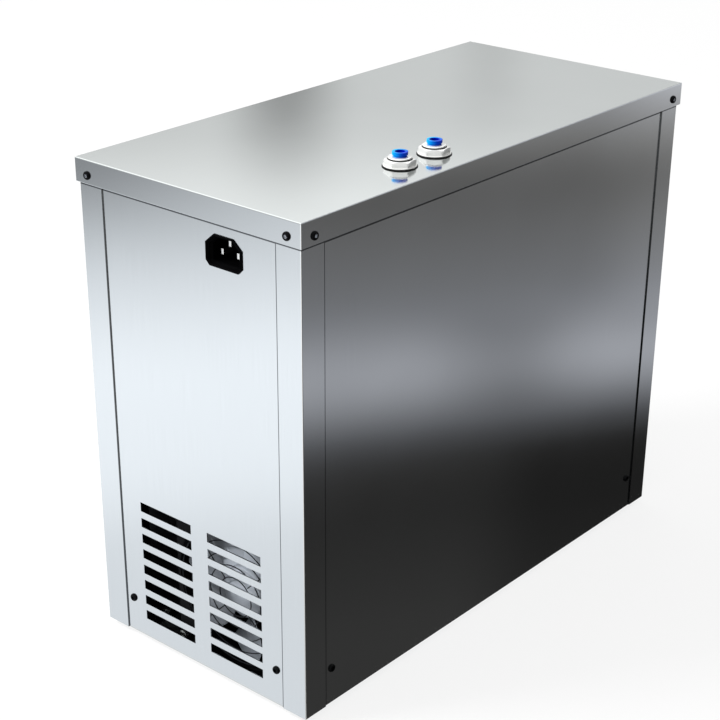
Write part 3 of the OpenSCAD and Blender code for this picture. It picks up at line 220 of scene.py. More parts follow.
def zincPlate():
    # Bright zinc on small hardware, slightly clouded
    material, tree, shader = newMaterial("zinc-plated steel", Metallic=1.0)
    cloud = noise(tree, objectPlace(tree), 3)
    tree.links.new(twoColours(tree, cloud, "#b9bcb8", "#cfd1cc"), shader.inputs["Base Color"])
    tree.links.new(between(tree, cloud, 0.2, 0.34), shader.inputs["Roughness"])
    return material


def blackOxideSteel():
    # Blackened screw steel: near black and oily satin. The socket floors of the lid
    # screws, which a mesh attribute marks, get a painted highlight of bright bare metal;
    # the lower screws, which lie in shade, stay black
    material, tree, shader = newMaterial("black-oxide steel", Specular_IOR_Level=0.05)
    cloud = noise(tree, objectPlace(tree), 1.2)
    paintedLightMask = addNode(tree, "Attribute", {}, attribute_name="paintedLightMask").outputs["Fac"]
    oxide = twoColours(tree, cloud, "#060708", "#0c0d0f")
    # Painted highlight: bright bare metal where the mask attribute is 1
    tree.links.new(mixed(tree, paintedLightMask, oxide, "#d6dae0"), shader.inputs["Base Color"])
    tree.links.new(calculate(tree, "MULTIPLY", paintedLightMask, 0.85), shader.inputs["Metallic"])
    tree.links.new(between(tree, cloud, 0.3, 0.42), shader.inputs["Roughness"])
    return material


def blackWire():
    # Guard wire dipped in black nylon powder: even, soft shine
    material, tree, shader = newMaterial("nylon-dipped wire", Specular_IOR_Level=0.2)
    skin = noise(tree, objectPlace(tree), 0.8, 2)
    tree.links.new(twoColours(tree, skin, "#17191c", "#1f2126"), shader.inputs["Base Color"])
    tree.links.new(between(tree, skin, 0.32, 0.44), shader.inputs["Roughness"])
    bump(tree, shader, skin, 0.02)
    return material


def stovedPaint():
    # Black stoved paint on pressed steel: thin, satin, with a slight orange peel
    material, tree, shader = newMaterial("black stoved paint", Specular_IOR_Level=0.4, Coat_Weight=0.2,
                                         Coat_Roughness=0.25)
    peel = noise(tree, objectPlace(tree), 1.6, 2)
    cloud = noise(tree, objectPlace(tree), 40, 2)
    tree.links.new(twoColours(tree, cloud, "#101113", "#151618"), shader.inputs["Base Color"])
    tree.links.new(between(tree, peel, 0.34, 0.46), shader.inputs["Roughness"])
    bump(tree, shader, peel, 0.03)
    return material


def mouldedPlastic(name, first, second, rough, grit, relief, specular=0.5, coat=0.0):
    # Injection-moulded plastic: even colour, a spark-eroded grain of grit millimetres
    look = dict(cloud=14, roughSpread=0.05, coatRough=0.12)
    material, tree, shader = newMaterial(name, Specular_IOR_Level=specular, Coat_Weight=coat,
                                         Coat_Roughness=look["coatRough"])
    cloud = noise(tree, objectPlace(tree), look["cloud"], 2)
    grain = noise(tree, objectPlace(tree), grit, 2)
    low, high = rough - look["roughSpread"], rough + look["roughSpread"]
    tree.links.new(twoColours(tree, cloud, first, second), shader.inputs["Base Color"])
    tree.links.new(between(tree, grain, low, high), shader.inputs["Roughness"])
    bump(tree, shader, grain, relief)
    return material


def blueAcetalPaintedLight(middle, half, axes):
    # Blue acetal of the release collets with painted light: the side toward the lamp is
    # painted nearly cyan and the other side deep blue. The change goes
    # with X from middle - half to middle + half millimetres; the bores round the axes,
    # given in metres, get a painted shade of the deepest blue
    look = dict(lit="#00b8f4", shaded="#003cc8", bore="#0018b4", boreEdge=(3.4, 3.9), grain=0.5)
    material, tree, shader = newMaterial("blue acetal", Specular_IOR_Level=0.06)
    reach = addNode(tree, "SeparateXYZ", {0: objectPlace(tree)}).outputs["X"]
    side = between(tree, reach, 0, 1, (middle - half) * mm, (middle + half) * mm)
    grain = noise(tree, objectPlace(tree), look["grain"], 2)
    flat = addNode(tree, "VectorMath", {0: objectPlace(tree), 1: (1, 1, 0)}, operation="MULTIPLY").outputs[0]
    near = 1.0
    for x, y, z in axes:
        away = addNode(tree, "VectorMath", {0: flat, 1: (x, y, 0)}, operation="DISTANCE").outputs["Value"]
        near = calculate(tree, "MINIMUM", near, away)
    start, stop = [edge * mm for edge in look["boreEdge"]]
    # Painted shade in the bores
    bore = between(tree, near, 1, 0, start, stop)
    # Painted light: lighter on the lamp's side, darker on the other, along X
    litToShadedBlue = mixed(tree, side, look["lit"], look["shaded"])
    tree.links.new(mixed(tree, bore, litToShadedBlue, look["bore"]), shader.inputs["Base Color"])
    tree.links.new(between(tree, grain, 0.26, 0.36), shader.inputs["Roughness"])
    return material


def pearlNickel():
    # Brass with pearl nickel plate: the plating bath leaves a fine matt skin that
    # scatters light, so it looks nearly white and only half mirrors. The thread and the
    # groove under the cap, which a mesh attribute marks, get a painted shade, near
    # black and less metallic
    material, tree, shader = newMaterial("pearl nickel plate")
    marks = noise(tree, objectPlace(tree, (0.15, 0.15, 1)), 0.25, 2)
    paintedLightMask = addNode(tree, "Attribute", {}, attribute_name="paintedLightMask").outputs["Fac"]
    plate = twoColours(tree, marks, "#ebebea", "#f4f4f2")
    # Painted shade in the thread and the groove
    tree.links.new(mixed(tree, paintedLightMask, plate, "#14100c"), shader.inputs["Base Color"])
    tree.links.new(between(tree, paintedLightMask, 0.5, 0, 0, 1), shader.inputs["Metallic"])
    tree.links.new(between(tree, marks, 0.16, 0.26), shader.inputs["Roughness"])
    return material


def brightNickel():
    # Bright nickel on the contact pins, with fine drawing lines
    material, tree, shader = newMaterial("bright nickel plate", Metallic=1.0)
    marks = noise(tree, objectPlace(tree, (1, 0.1, 1)), 0.3, 2)
    tree.links.new(twoColours(tree, marks, "#dddcd8", "#eae9e6"), shader.inputs["Base Color"])
    tree.links.new(between(tree, marks, 0.14, 0.24), shader.inputs["Roughness"])
    return material


def drawnCopper():
    # Soft copper tube: salmon colour, duller brown where handled
    material, tree, shader = newMaterial("drawn copper", Metallic=1.0)
    stain = noise(tree, objectPlace(tree), 9, 4)
    tree.links.new(twoColours(tree, stain, "#b06b45", "#d08e66"), shader.inputs["Base Color"])
    tree.links.new(between(tree, stain, 0.42, 0.24), shader.inputs["Roughness"])
    return material


def rolledAluminium():
    # Thin fin stock, bright with rolling lines
    material, tree, shader = newMaterial("rolled aluminium", Metallic=1.0, Roughness=0.3)
    lines = noise(tree, objectPlace(tree, (1, 1, 0.1)), 1.0)
    tree.links.new(twoColours(tree, lines, "#c4c6c9", "#d6d8da"), shader.inputs["Base Color"])
    return material


def polyurethaneFoam():
    # Rigid foam with a moulded skin: cream, dimpled by bubbles of 1 to 3 mm
    material, tree, shader = newMaterial("rigid polyurethane foam", Roughness=0.85, Subsurface_Weight=0.08)
    cells = addNode(tree, "TexVoronoi", {"Vector": objectPlace(tree), "Scale": 1 / (2.4 * mm)})
    cloud = noise(tree, objectPlace(tree), 30, 4)
    tree.links.new(twoColours(tree, cloud, "#d9cca3", "#e6dcb9"), shader.inputs["Base Color"])
    bump(tree, shader, cells.outputs["Distance"], 0.5)
    return material


def statorIron():
    # Stacked 0.5 mm laminations, drawn 1 mm apart so that they show, and varnished
    material, tree, shader = newMaterial("laminated motor iron", Metallic=0.8, Roughness=0.42)
    stack = addNode(tree, "TexWave", {"Vector": objectPlace(tree), "Scale": 1 / (1.0 * mm) / pi / 2},
                    bands_direction="Z").outputs["Fac"]
    tree.links.new(twoColours(tree, stack, "#5f564f", "#8a7f74"), shader.inputs["Base Color"])
    bump(tree, shader, stack, 0.1)
    return material


def groundSteel():
    # Ground shaft and pump steel with fine circular marks
    material, tree, shader = newMaterial("ground steel", Metallic=1.0)
    marks = noise(tree, objectPlace(tree, (0.2, 0.2, 1)), 0.6)
    tree.links.new(twoColours(tree, marks, "#97999b", "#aeb0b1"), shader.inputs["Base Color"])
    tree.links.new(between(tree, marks, 0.2, 0.34), shader.inputs["Roughness"])
    return material


# Where the painted shade along the seams lies: from start to stop millimetres off the
# covering sheet's edge, just past the strip that the sheet hides from the front right
shade = dict(leg=(1.55, 1.2), sideLeg=(1.75, 1.35), endFlange=(2.5, 2.1), sideFlange=(2.75, 2.35),
             postFlange=(1.9, 1.5))


def paintedShadeBand(way, edge, key):
    # Direction with the reaches of the painted shade band's start and stop beside an edge,
    # in metres
    start, stop = shade[key]
    return way, edge - start * mm, edge - stop * mm


satin = (0.13, 0.16)                                    # roughness of the sides
polished = (0.095, 0.115)                               # roughness of the lid
upward = (0, 0, 1)
sides = dict(front=((1, 0, 0), 0, "leg", "endFlange"), rear=((-1, 0, 0), 0, "leg", "endFlange"),
             right=((0, -1, 0), 1, "sideLeg", "sideFlange"), left=((0, 1, 0), 1, "sideLeg", "sideFlange"))
steel = {}
# Each side and the posts get painted shade beside the post edges and under the lid's flange
for side, (way, axis, leg, flange) in sides.items():
    steel[side] = brushedStainless("satin stainless, " + side, 2, satin,
                                   [paintedShadeBand(way, postEdge[axis], leg), paintedShadeBand(upward, flangeLow, flange)])
steelPosts = brushedStainless("satin stainless, posts", 2, satin, [paintedShadeBand(upward, flangeLow, "postFlange")],
                              list(enumerate(postEdge)))
steelTop = brushedStainless("satin stainless, lid", 1, polished, [])
steelDrawn = drawnStainless()
steelZinc = galvanisedSheet()
platedZinc = zincPlate()
oxide = blackOxideSteel()
wire = blackWire()
paint = stovedPaint()
nylon = mouldedPlastic("black nylon", "#030304", "#060607", 0.4, 0.3, 0.01, 0.015)
blackAbs = mouldedPlastic("black ABS", "#050506", "#08080a", 0.46, 0.4, 0.02, 0.08)
paleFan = mouldedPlastic("pale grey PBT", "#969ca4", "#a1a7af", 0.24, 0.5, 0.004, 0.3, 0.2)
rubber = mouldedPlastic("nitrile rubber", "#060607", "#0b0b0c", 0.62, 0.5, 0.03, 0.3)
nickel = pearlNickel()
pinNickel = brightNickel()
blueAcetal = blueAcetalPaintedLight(portAt["inlet"][0] / mm, 4.6, portAt.values())
whiteTube = mouldedPlastic("white polyethylene", "#dfe3e3", "#e8eaea", 0.38, 1.2, 0.01)
whiteAcetal = mouldedPlastic("white acetal", "#dededa", "#e8e8e4", 0.28, 0.5, 0.005)
copper = drawnCopper()
aluminium = rolledAluminium()
foam = polyurethaneFoam()
iron = statorIron()
sheath = mouldedPlastic("black PVC sheath", "#101012", "#171719", 0.45, 0.8, 0.02, 0.4)
ground = groundSteel()
print("materials ready")

# What each CAD node is made of
finishes = {
    "base_tray": steelZinc, "front_left_post": steelPosts, "front_right_post": steelPosts,
    "rear_left_post": steelPosts, "rear_right_post": steelPosts, "front_panel": steel["front"],
    "rear_panel": steel["rear"], "left_panel": steel["left"], "right_panel": steel["right"], "lid": steelTop,
    "casing_screws": oxide, "feet": rubber, "foot_bolts": platedZinc, "inlet_body": nylon,
    "inlet_pins": pinNickel, "inlet_fitting": nickel, "outlet_fitting": nickel, "fitting_gaskets": rubber,
    "fitting_nuts": nickel, "inlet_collet": blueAcetal, "outlet_collet": blueAcetal,
    "fitting_orings": rubber, "grab_rings": steelDrawn, "tank": steelDrawn, "foam_lower": foam,
    "foam_upper": foam, "evaporator_coil": copper, "tank_stand": steelZinc, "tank_straps": steelZinc,
    "chassis_screws": platedZinc, "inlet_tube": whiteTube, "outlet_tube": whiteTube,
    "tank_unions": whiteAcetal, "compressor_shell_lower": paint, "compressor_shell_upper": paint,
    "compressor_plate": paint, "compressor_grommets": rubber, "terminal_cover": blackAbs,
    "motor_stator": iron, "motor_rotor": ground, "pump_cylinder": ground, "condenser_fins": aluminium,
    "condenser_tube": copper, "condenser_end_plates": steelZinc, "fan_shroud": paint,
    "fan_frame": blackAbs, "fan_guard": wire, "fan_stator": iron, "fan_rotor": paleFan,
    "filter_drier": copper, "capillary_tube": copper, "suction_line": copper, "discharge_line": copper,
    "liquid_line": copper, "wiring": sheath, "thermostat_body": whiteAcetal, "thermostat_nut": platedZinc,
    "thermostat_spindle": ground, "thermostat_sensor": copper,
}
for name, material in finishes.items():
    nodes[name].data.materials.clear()
    nodes[name].data.materials.append(material)


# Tools that make pieces

# Millimetres: doubles of new blocks and of CAD copies that are merged, the shortest edge
# beside a bend that is rounded, the width from which a round has more segments
meshing = dict(weld=0.001, copyWeld=0.002, shortest=0.6, wide=0.6, wideSegments=4)


def addPiece(name, mesh, material, body, slotName, *replaced):
    # Object at the origin that rides on a body and may stand for CAD nodes
    piece = bpy.data.objects.new(name, mesh)
    bpy.context.scene.collection.objects.link(piece)
    mesh.materials.append(material)
    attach(piece, body)
    if replaced:
        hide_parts(*replaced)
    return piece


def standFor(name, blocks, *replaced, material=None, sharp=32, paintedLightMask=None):
    # One mesh of several blocks that replaces CAD nodes: doubles are merged, faces
    # turned outwards, and edges steeper than sharp degrees stay crisp
    first = np.cumsum([0] + [len(points) for points, faces in blocks[:-1]])
    mesh = bpy.data.meshes.new(name)
    mesh.from_pydata(np.concatenate([points for points, faces in blocks]), [],
                     np.concatenate([faces + start for (points, faces), start in zip(blocks, first)]))
    if paintedLightMask is not None:
        mesh.attributes.new("paintedLightMask", "FLOAT", "POINT").data.foreach_set("value", paintedLightMask.astype(np.float32))
    shape = bmesh.new()
    shape.from_mesh(mesh)
    bmesh.ops.remove_doubles(shape, verts=shape.verts, dist=meshing["weld"] * mm)
    bmesh.ops.recalc_face_normals(shape, faces=shape.faces)
    shape.to_mesh(mesh)
    shape.free()
    mesh.shade_smooth()
    mesh.set_sharp_from_angle(angle=radians(sharp))
    return addPiece(name, mesh, material or finishes[replaced[0]], bodyOf[replaced[0]], slotOf[replaced[0]],
                    *replaced)


def grid(points, closed=False):
    # Faces between the neighbours of a grid of points, ring by ring: places wrap round
    # each ring, and the last ring joins the first where closed
    rings, places = points.shape[:2]
    ring = np.arange(rings if closed else rings - 1)[:, None]
    place = np.arange(places)[None, :]
    nextRing, nextPlace = (ring + 1) % rings, (place + 1) % places
    faces = np.stack([ring * places + place, ring * places + nextPlace,
                      nextRing * places + nextPlace, nextRing * places + place], -1)
    return points.reshape(-1, 3), faces.reshape(-1, 4)


def angles(sides, turn=0.0):
    # Equal steps of one turn
    return turn + np.arange(sides) * 2 * pi / sides


def turned(rings, sides=64, closed=False):
    # Rings about the Z axis from pairs of radius r and height h in millimetres:
    # x = r cos a, y = r sin a, z = h; r and h may hold one value for each angle
    around = angles(sides)
    points = [np.stack([r * np.cos(around), r * np.sin(around), h + 0 * around], -1) for r, h in rings]
    return grid(np.array(points) * mm, closed)


def sixSided(flats, sides, turn=0.0, corner=0.985):
    # Distance of a hexagon's edge from its middle: half the flats over the cosine of
    # the angle from the nearest flat, with the corners cut by a round
    fold = (angles(sides) - turn + pi / 6) % (pi / 3) - pi / 6
    return np.minimum(flats / 2 / np.cos(fold), corner * flats / 2 / cos(pi / 6))


def arc(middle, radius, start, stop, steps=5):
    # Points of a quarter or other arc: middle + radius (cos, sin), degrees
    swing = np.radians(np.linspace(start, stop, steps))
    return [(middle[0] + radius * c, middle[1] + radius * s) for c, s in zip(np.cos(swing), np.sin(swing))]


def placed(block, at, out=(0, 0, 1), turn=0.0):
    # Block turned about its own Z, that axis laid along out, its origin moved to a place
    points, faces = block
    matrix = Vector(out).to_track_quat("Z", "Y").to_matrix() @ Matrix.Rotation(turn, 3, "Z")
    return points @ np.array(matrix).T + np.array(at), faces


def softEdges(nodeName, radius, fold=None, foldRadius=0.0, segments=2, sharp=28):
    # Merged copy of a CAD node with its sharp edges rounded by radius millimetres;
    # edges for which fold is true are bends and are rounded by foldRadius, and then the
    # short edges round the holes stay crisp, as they would limit the bends
    source = nodes[nodeName].data
    points = np.empty(len(source.vertices) * 3)
    source.vertices.foreach_get("co", points)
    source.calc_loop_triangles()
    corners = np.empty(len(source.loop_triangles) * 3, int)
    source.loop_triangles.foreach_get("vertices", corners)
    mesh = bpy.data.meshes.new(nodeName + "_soft")
    mesh.from_pydata(points.reshape(-1, 3), [], corners.reshape(-1, 3))
    shape = bmesh.new()
    shape.from_mesh(mesh)
    bmesh.ops.remove_doubles(shape, verts=shape.verts, dist=meshing["copyWeld"] * mm)
    bmesh.ops.dissolve_limit(shape, angle_limit=radians(0.5), verts=shape.verts, edges=shape.edges)
    weight = shape.edges.layers.float.new("bevel_weight_edge")
    widest = max(radius, foldRadius)
    for face in shape.faces:
        face.smooth = True
    for edge in shape.edges:
        crisp = len(edge.link_faces) == 2 and edge.calc_face_angle() > radians(sharp)
        edge.smooth = not crisp
        if crisp and widest and (fold is None or edge.calc_length() > meshing["shortest"] * mm):
            bent = fold is not None and fold(edge.verts[0].co, edge.verts[1].co)
            edge[weight] = (foldRadius if bent else radius) / widest
    shape.to_mesh(mesh)
    shape.free()
    piece = addPiece(nodeName + "_soft", mesh, finishes[nodeName], bodyOf[nodeName],
                     slotOf[nodeName], nodeName)
    if widest:
        rounding = piece.modifiers.new("edges", "BEVEL")
        rounding.limit_method = "WEIGHT"
        rounding.width = widest * mm
        rounding.segments = segments if widest < meshing["wide"] else meshing["wideSegments"]
        rounding.use_clamp_overlap = True
        rounding.harden_normals = True
    return piece


# Casing

def lidFold(a, b):
    # The four top edges and the four upright corners of the lid
    onSide = [all(min(abs(p[k] - lidLow[k]), abs(p[k] - lidHigh[k])) < touch for p in (a, b))
              for k in (0, 1)]
    onTop = all(abs(p[2] - lidHigh[2]) < touch for p in (a, b))
    return all(onSide) or (onTop and any(onSide))


def postFold(a, b):
    # The upright bend between a post's two legs
    return all(abs(abs(p[k]) - postHigh[k]) < touch for p in (a, b) for k in (0, 1))


casing = dict(lidBend=0.9, postBend=0.9, cutEdge=0.2, slotEdge=0.18)
softEdges("lid", casing["cutEdge"], lidFold, casing["lidBend"])
for corner in ("front_left", "front_right", "rear_left", "rear_right"):
    softEdges(corner + "_post", casing["cutEdge"], postFold, casing["postBend"])
for name in ("front_panel", "rear_panel"):
    softEdges(name, casing["slotEdge"])

# Button-head screws with a hexagon socket, four on each face
screw = dict(head=3.0, top=1.7, height=1.6, rim=0.25, socket=2.5, deep=1.15, mouth=0.1, floorShare=0.97,
             shank=1.75, root=1.4, tipShare=0.8, length=8, pitch=0.7, lidIn=12, lidDrop=10.8, lowIn=28,
             lowRise=28.2, turn=0.3, sides=24)


def screwBlock(s):
    # Rings from the socket's floor over its rim and the domed head, then down the
    # thread, whose radius swings between crest and root once a pitch
    hexagon = sixSided(s["socket"], s["sides"])
    dome = [(s["top"] + (s["head"] - s["top"]) * sin(t), s["rim"] + (s["height"] - s["rim"]) * cos(t))
            for t in np.linspace(0, pi / 2, 6)]
    turns = np.arange(0, s["length"] - s["pitch"], s["pitch"] / 2)
    thread = [(s["root"] if k % 2 else s["shank"], -z) for k, z in enumerate(turns)]
    floor = s["height"] - s["deep"]
    socket = [(0, floor), (hexagon * s["floorShare"], floor), (hexagon, s["height"] - s["mouth"]),
              (hexagon + s["mouth"], s["height"])]
    tip = [(s["root"] * s["tipShare"], -s["length"]), (0, -s["length"])]
    return turned(socket + dome + [(s["head"], 0)] + thread + tip, s["sides"])


def screwPlaces(s):
    # Seat and direction of every casing screw, mirrored to all four faces; the
    # third value says whether it holds the lid
    places = []
    lidZ = lidHigh[2] - s["lidDrop"] * mm
    lowZ = boxOf("base_tray")[0][2] + s["lowRise"] * mm
    for a in (-1, 1):
        for b in (-1, 1):
            places.append(((a * (lidHigh[0] - s["lidIn"] * mm), b * lidHigh[1], lidZ), (0, b, 0), 1))
            places.append(((b * lidHigh[0], a * (lidHigh[1] - s["lidIn"] * mm), lidZ), (b, 0, 0), 1))
            places.append(((a * (postHigh[0] - s["lowIn"] * mm), b * panelFace[1], lowZ), (0, b, 0), 0))
            places.append(((b * panelFace[0], a * (postHigh[1] - s["lowIn"] * mm), lowZ), (b, 0, 0), 0))
    return places


places = screwPlaces(screw)
one = screwBlock(screw)
inSocket = np.arange(len(one[0])) < 2 * screw["sides"]  # the first two rings: the socket's floor
# The socket floors of the lid screws get the painted highlight; the lower screws, in shade, get none
standFor("button_screws", [placed(one, at, out, screw["turn"]) for at, out, onLid in places],
         "casing_screws", paintedLightMask=np.concatenate([inSocket * onLid for at, out, onLid in places]))

# Feet with two grip grooves round the bolt's recess
foot = dict(rings=[(4.1, 0), (5.2, 0), (5.4, 0.5), (5.9, 0.5), (6.1, 0), (7.0, 0), (7.2, 0.5), (7.7, 0.5),
                   (7.9, 0), (8.6, 0), (8.9, 0.15), (9.1, 0.5), (9.9, 4.6), (9.8, 4.9), (9.5, 5),
                   (2.08, 5), (2.08, 2.3), (4.1, 2.3)], radius=10)
footX, footY = boxOf("feet")[1][:2] - foot["radius"] * mm
oneFoot = turned(foot["rings"], 48, True)
standFor("grip_feet", [placed(oneFoot, (a * footX, b * footY, 0)) for a in (-1, 1) for b in (-1, 1)], "feet")
print("casing ready")


# Water ports

# Nut, heights from its seat: thin round washer face, six flats, corners cut by a cone
# at the top. Rounds and cuts are pairs of radius and height
nut = dict(flats=19, height=4.4, bore=8.25, rim=9.4, face=11.45, faceHeight=0.35, faceLow=0.1, faceTop=0.08,
           slope=0.58, shoulder=(0.04, 0.1), rimRound=(0.15, 0.03), rimFlat=0.35, mouth=0.45,
           turn=radians(40), sides=144)


def nutBlock(n):
    # Ring by ring; the chamfer's edge lies lower where the hexagon reaches farther out,
    # by the tangent of 30 degrees
    side = sixSided(n["flats"], n["sides"], n["turn"] + pi / 6)
    edge = n["height"] - (side - n["rim"]) * n["slope"]
    face = [(n["face"] - n["faceLow"], 0), (n["face"], n["faceLow"]),
            (n["face"], n["faceHeight"] - n["faceTop"]), (n["face"] - n["faceTop"], n["faceHeight"])]
    flats = [(side, n["faceHeight"]), (side, edge - n["shoulder"][1]), (side - n["shoulder"][0], edge)]
    top = [(n["rim"] - n["rimRound"][0], n["height"] - n["rimRound"][1]),
           (n["rim"] - n["rimFlat"], n["height"]),
           (n["bore"] + n["mouth"], n["height"]), (n["bore"], n["height"] - n["mouth"])]
    return turned([(n["bore"], 0)] + face + flats + top, n["sides"], True)


# Bulkhead body, heights from the lid's top: rolled cap, groove, thread, hexagon under
# the lid, barrel, then up the stepped bore
bulkhead = dict(cap=8.1, capTop=6.8, capLow=5.75, capTaper=0.1, round=0.8, groove=7.4, nutTop=5.2,
                crest=8.15, root=7.7, pitch=1.0, flangeTop=-1, flangeLow=-7, flats=22, flatsCut=0.3,
                barrel=7.375, end=-27.5, endCut=0.5, sides=96,
                bore=[(3.475, -27.5), (3.475, -19.5), (2.2, -19.5), (2.2, -16.5), (3.255, -16.5),
                      (3.255, -11.5), (5.455, -11.5), (5.455, -7.8), (4.505, -7.8), (4.505, 6.3),
                      (5.0, 6.8)])


def bulkheadBlock(b):
    # Closed profile turned about the axis; the thread is a zigzag once a pitch
    side = sixSided(b["flats"], b["sides"])
    cap = arc((b["cap"] - b["round"], b["capTop"] - b["round"]), b["round"], 90, 0)
    cap += [(b["cap"] - b["capTaper"], b["capLow"]), (b["groove"], b["capLow"]), (b["groove"], b["nutTop"])]
    turns = np.arange(b["nutTop"], b["flangeTop"], -b["pitch"] / 2)
    thread = [(b["root"] if k % 2 else b["crest"], z) for k, z in enumerate(turns)][1:]
    cut = b["flatsCut"]
    flange = [(b["crest"], b["flangeTop"]), (side - cut, b["flangeTop"]), (side, b["flangeTop"] - cut),
              (side, b["flangeLow"] + cut), (side - cut, b["flangeLow"]), (b["barrel"], b["flangeLow"])]
    barrel = [(b["barrel"], b["end"] + b["endCut"]), (b["barrel"] - b["endCut"], b["end"])]
    return turned(cap + thread + flange + barrel + b["bore"], b["sides"], True)


def threadShadeMask(points, b):
    # 1 on the vertices of the groove and the thread, which get a painted shade, 0
    # elsewhere; spare is what a vertex may lie past their edges, in millimetres
    radius = np.hypot(points[:, 0], points[:, 1]) / mm
    height = points[:, 2] / mm
    spare = 0.01
    outside = (radius > b["groove"] - spare) & (radius < b["crest"] + spare)
    return (outside & (height < b["capLow"] + spare) & (height > b["flangeTop"] + spare)).astype(float)


oneBulkhead = bulkheadBlock(bulkhead)
for port, at in portAt.items():
    standFor(port + "_bulkhead", [placed(oneBulkhead, at)], port + "_fitting",
             paintedLightMask=threadShadeMask(oneBulkhead[0], bulkhead))
nutRise = np.array([0, 0, boxOf("fitting_nuts")[0][2] - lidHigh[2]])
oneNut = nutBlock(nut)
standFor("port_nuts", [placed(oneNut, at + nutRise) for at in portAt.values()], "fitting_nuts", sharp=24)
for port in portAt:
    softEdges(port + "_collet", 0.4, segments=3)

# Washers with a rounded lip, radius and height from the lid's top
washer = dict(inner=[(8.3, 0), (11.5, 0)], lip=arc((11.72, 0.28), 0.28, -75, 75, 9),
              top=[(11.3, 0.8), (8.3, 0.8)])
oneWasher = turned(washer["inner"] + washer["lip"] + washer["top"], 96, True)
standFor("lip_washers", [placed(oneWasher, at) for at in portAt.values()], "fitting_gaskets")
print("ports ready")


# Mains inlet

inletLow, inletHigh = boxOf("inlet_body")
inletAt = (inletLow + inletHigh) / 2 * np.array([1, 0, 1]) + inletLow * np.array([0, 1, 0])
# Pairs are a width and a height, depths go from the bezel's face, and a wing is the
# thickness, height and length of a clip. A ring shrunk to the share point closes an end
inlet = dict(bezel=1, barrel=(27, 18.6), barrelCut=1.85, socket=(24.6, 16.2), socketCut=0.93,
             socketDeep=16.5, lead=(3.0, 2.2), leadDeep=3.5, rim=0.35, cut=3.3, upperCut=(7.5, 6.5),
             wing=(1.2, 8, 9), wingBack=1.3, point=0.001, wingPoint=0.01)


def outline(size, low, s):
    # Rectangle with cut corners, in pairs of x and z from the middle: the lower two cut
    # by low, the upper two by the bezel's wide cut in proportion to the rectangle
    x, z = size[0] / 2, size[1] / 2
    a = s["upperCut"][0] * size[0] * mm / (inletHigh[0] - inletLow[0])
    b = s["upperCut"][1] * size[1] * mm / (inletHigh[2] - inletLow[2])
    return np.array([(-x, -z + low), (-x + low, -z), (x - low, -z), (x, -z + low), (x, z - b), (x - a, z),
                     (-x + a, z), (-x, z - b)])


def inletBlocks(s):
    # Outlines joined ring by ring: from the back of the barrel along its outside, over
    # the bezel's rounded rim, down the lead-in and into the socket. Then the two clips
    width, back, height = (inletHigh - inletLow) / mm
    sink, drop = s["lead"]
    barrel = outline(s["barrel"], s["barrelCut"], s)
    mouth = outline((s["socket"][0] + 2 * sink, s["socket"][1] + 2 * drop), s["socketCut"] + drop, s)
    socket = outline(s["socket"], s["socketCut"], s)
    rings = [(barrel * s["point"], back), (barrel, back), (barrel, s["bezel"]),
             (outline((width, height), s["cut"], s), s["bezel"])]
    rings += [(outline((width - 2 * r, height - 2 * r), s["cut"], s), deep)
              for r, deep in arc((s["rim"], s["rim"]), s["rim"], 180, 270, 4)]
    rings += [(mouth, 0), (socket, s["leadDeep"]), (socket, s["socketDeep"]),
              (socket * s["point"], s["socketDeep"])]
    shapes = [[np.stack([ring[:, 0], np.full(8, deep), ring[:, 1]], -1) for ring, deep in rings]]
    thick, tall, long = s["wing"]
    start = s["bezel"] + s["wingBack"]
    corners = np.array([(-1, -1), (1, -1), (1, 1), (-1, 1)]) * (thick / 2, tall / 2)
    wingRings = [(s["wingPoint"], start), (1, start), (1, start + long), (s["wingPoint"], start + long)]
    for side in (-1, 1):
        middle = side * (s["barrel"][0] + thick) / 2
        shapes.append([np.stack([middle + share * corners[:, 0], np.full(4, deep),
                                 share * corners[:, 1]], -1) for share, deep in wingRings])
    return [grid(np.array(shape) * mm + inletAt) for shape in shapes]


standFor("inlet_socket", inletBlocks(inlet), "inlet_body", sharp=20)
softEdges("inlet_pins", 0.7, segments=3)


# Condenser fan

fanLow, fanHigh = boxOf("fan_frame")
fanAt = (fanLow + fanHigh) / 2
hubFront = boxOf("fan_rotor")[0][1]
fan = dict(hub=20, hubLength=18, hubWall=2, hubRound=3, dish=[(0, 0.9), (7, 0.8), (9, 0.2)], fillet=1,
           axle=1.5, blades=7, start=radians(8), root=0.8, tip=56, halfAngle=0.37, narrowing=0.15,
           sweep=0.22, depth=7.6, flattening=0.12, camber=2.2, thick=1.5, sections=14, places=28)


def bladeBlock(f, middle):
    # Rings go out along the radius, s from 0 at the root to 1 at the tip, each a thin
    # closed section round the chord: angle = middle + sweep s^2 + half width * cos t,
    # depth = pitch * cos t, bowed by the camber, plus or minus half the thickness * sin t.
    # The half width narrows with s^8, which rounds the tip's corners
    s = np.concatenate([[0, 0], np.linspace(0, 1, f["sections"]), [1]])[:, None]
    full = np.concatenate([[0, 1], np.ones(f["sections"]), [0]])[:, None]
    t = angles(f["places"])[None, :]
    root = f["hub"] - f["root"]
    radius = root + (f["tip"] - root) * s
    width = f["halfAngle"] * (1 - f["narrowing"] * s ** 8)
    around = middle + f["sweep"] * s ** 2 + width * np.cos(t)
    height = (f["depth"] * np.cos(t) * (1 - f["flattening"] * s) + f["camber"] * (np.cos(t) ** 2 - 0.5)
              + full * f["thick"] / 2 * np.sin(t))
    points = np.stack([radius * np.cos(around), radius * np.sin(around), f["hubLength"] / 2 + height], -1)
    return grid(points * mm)


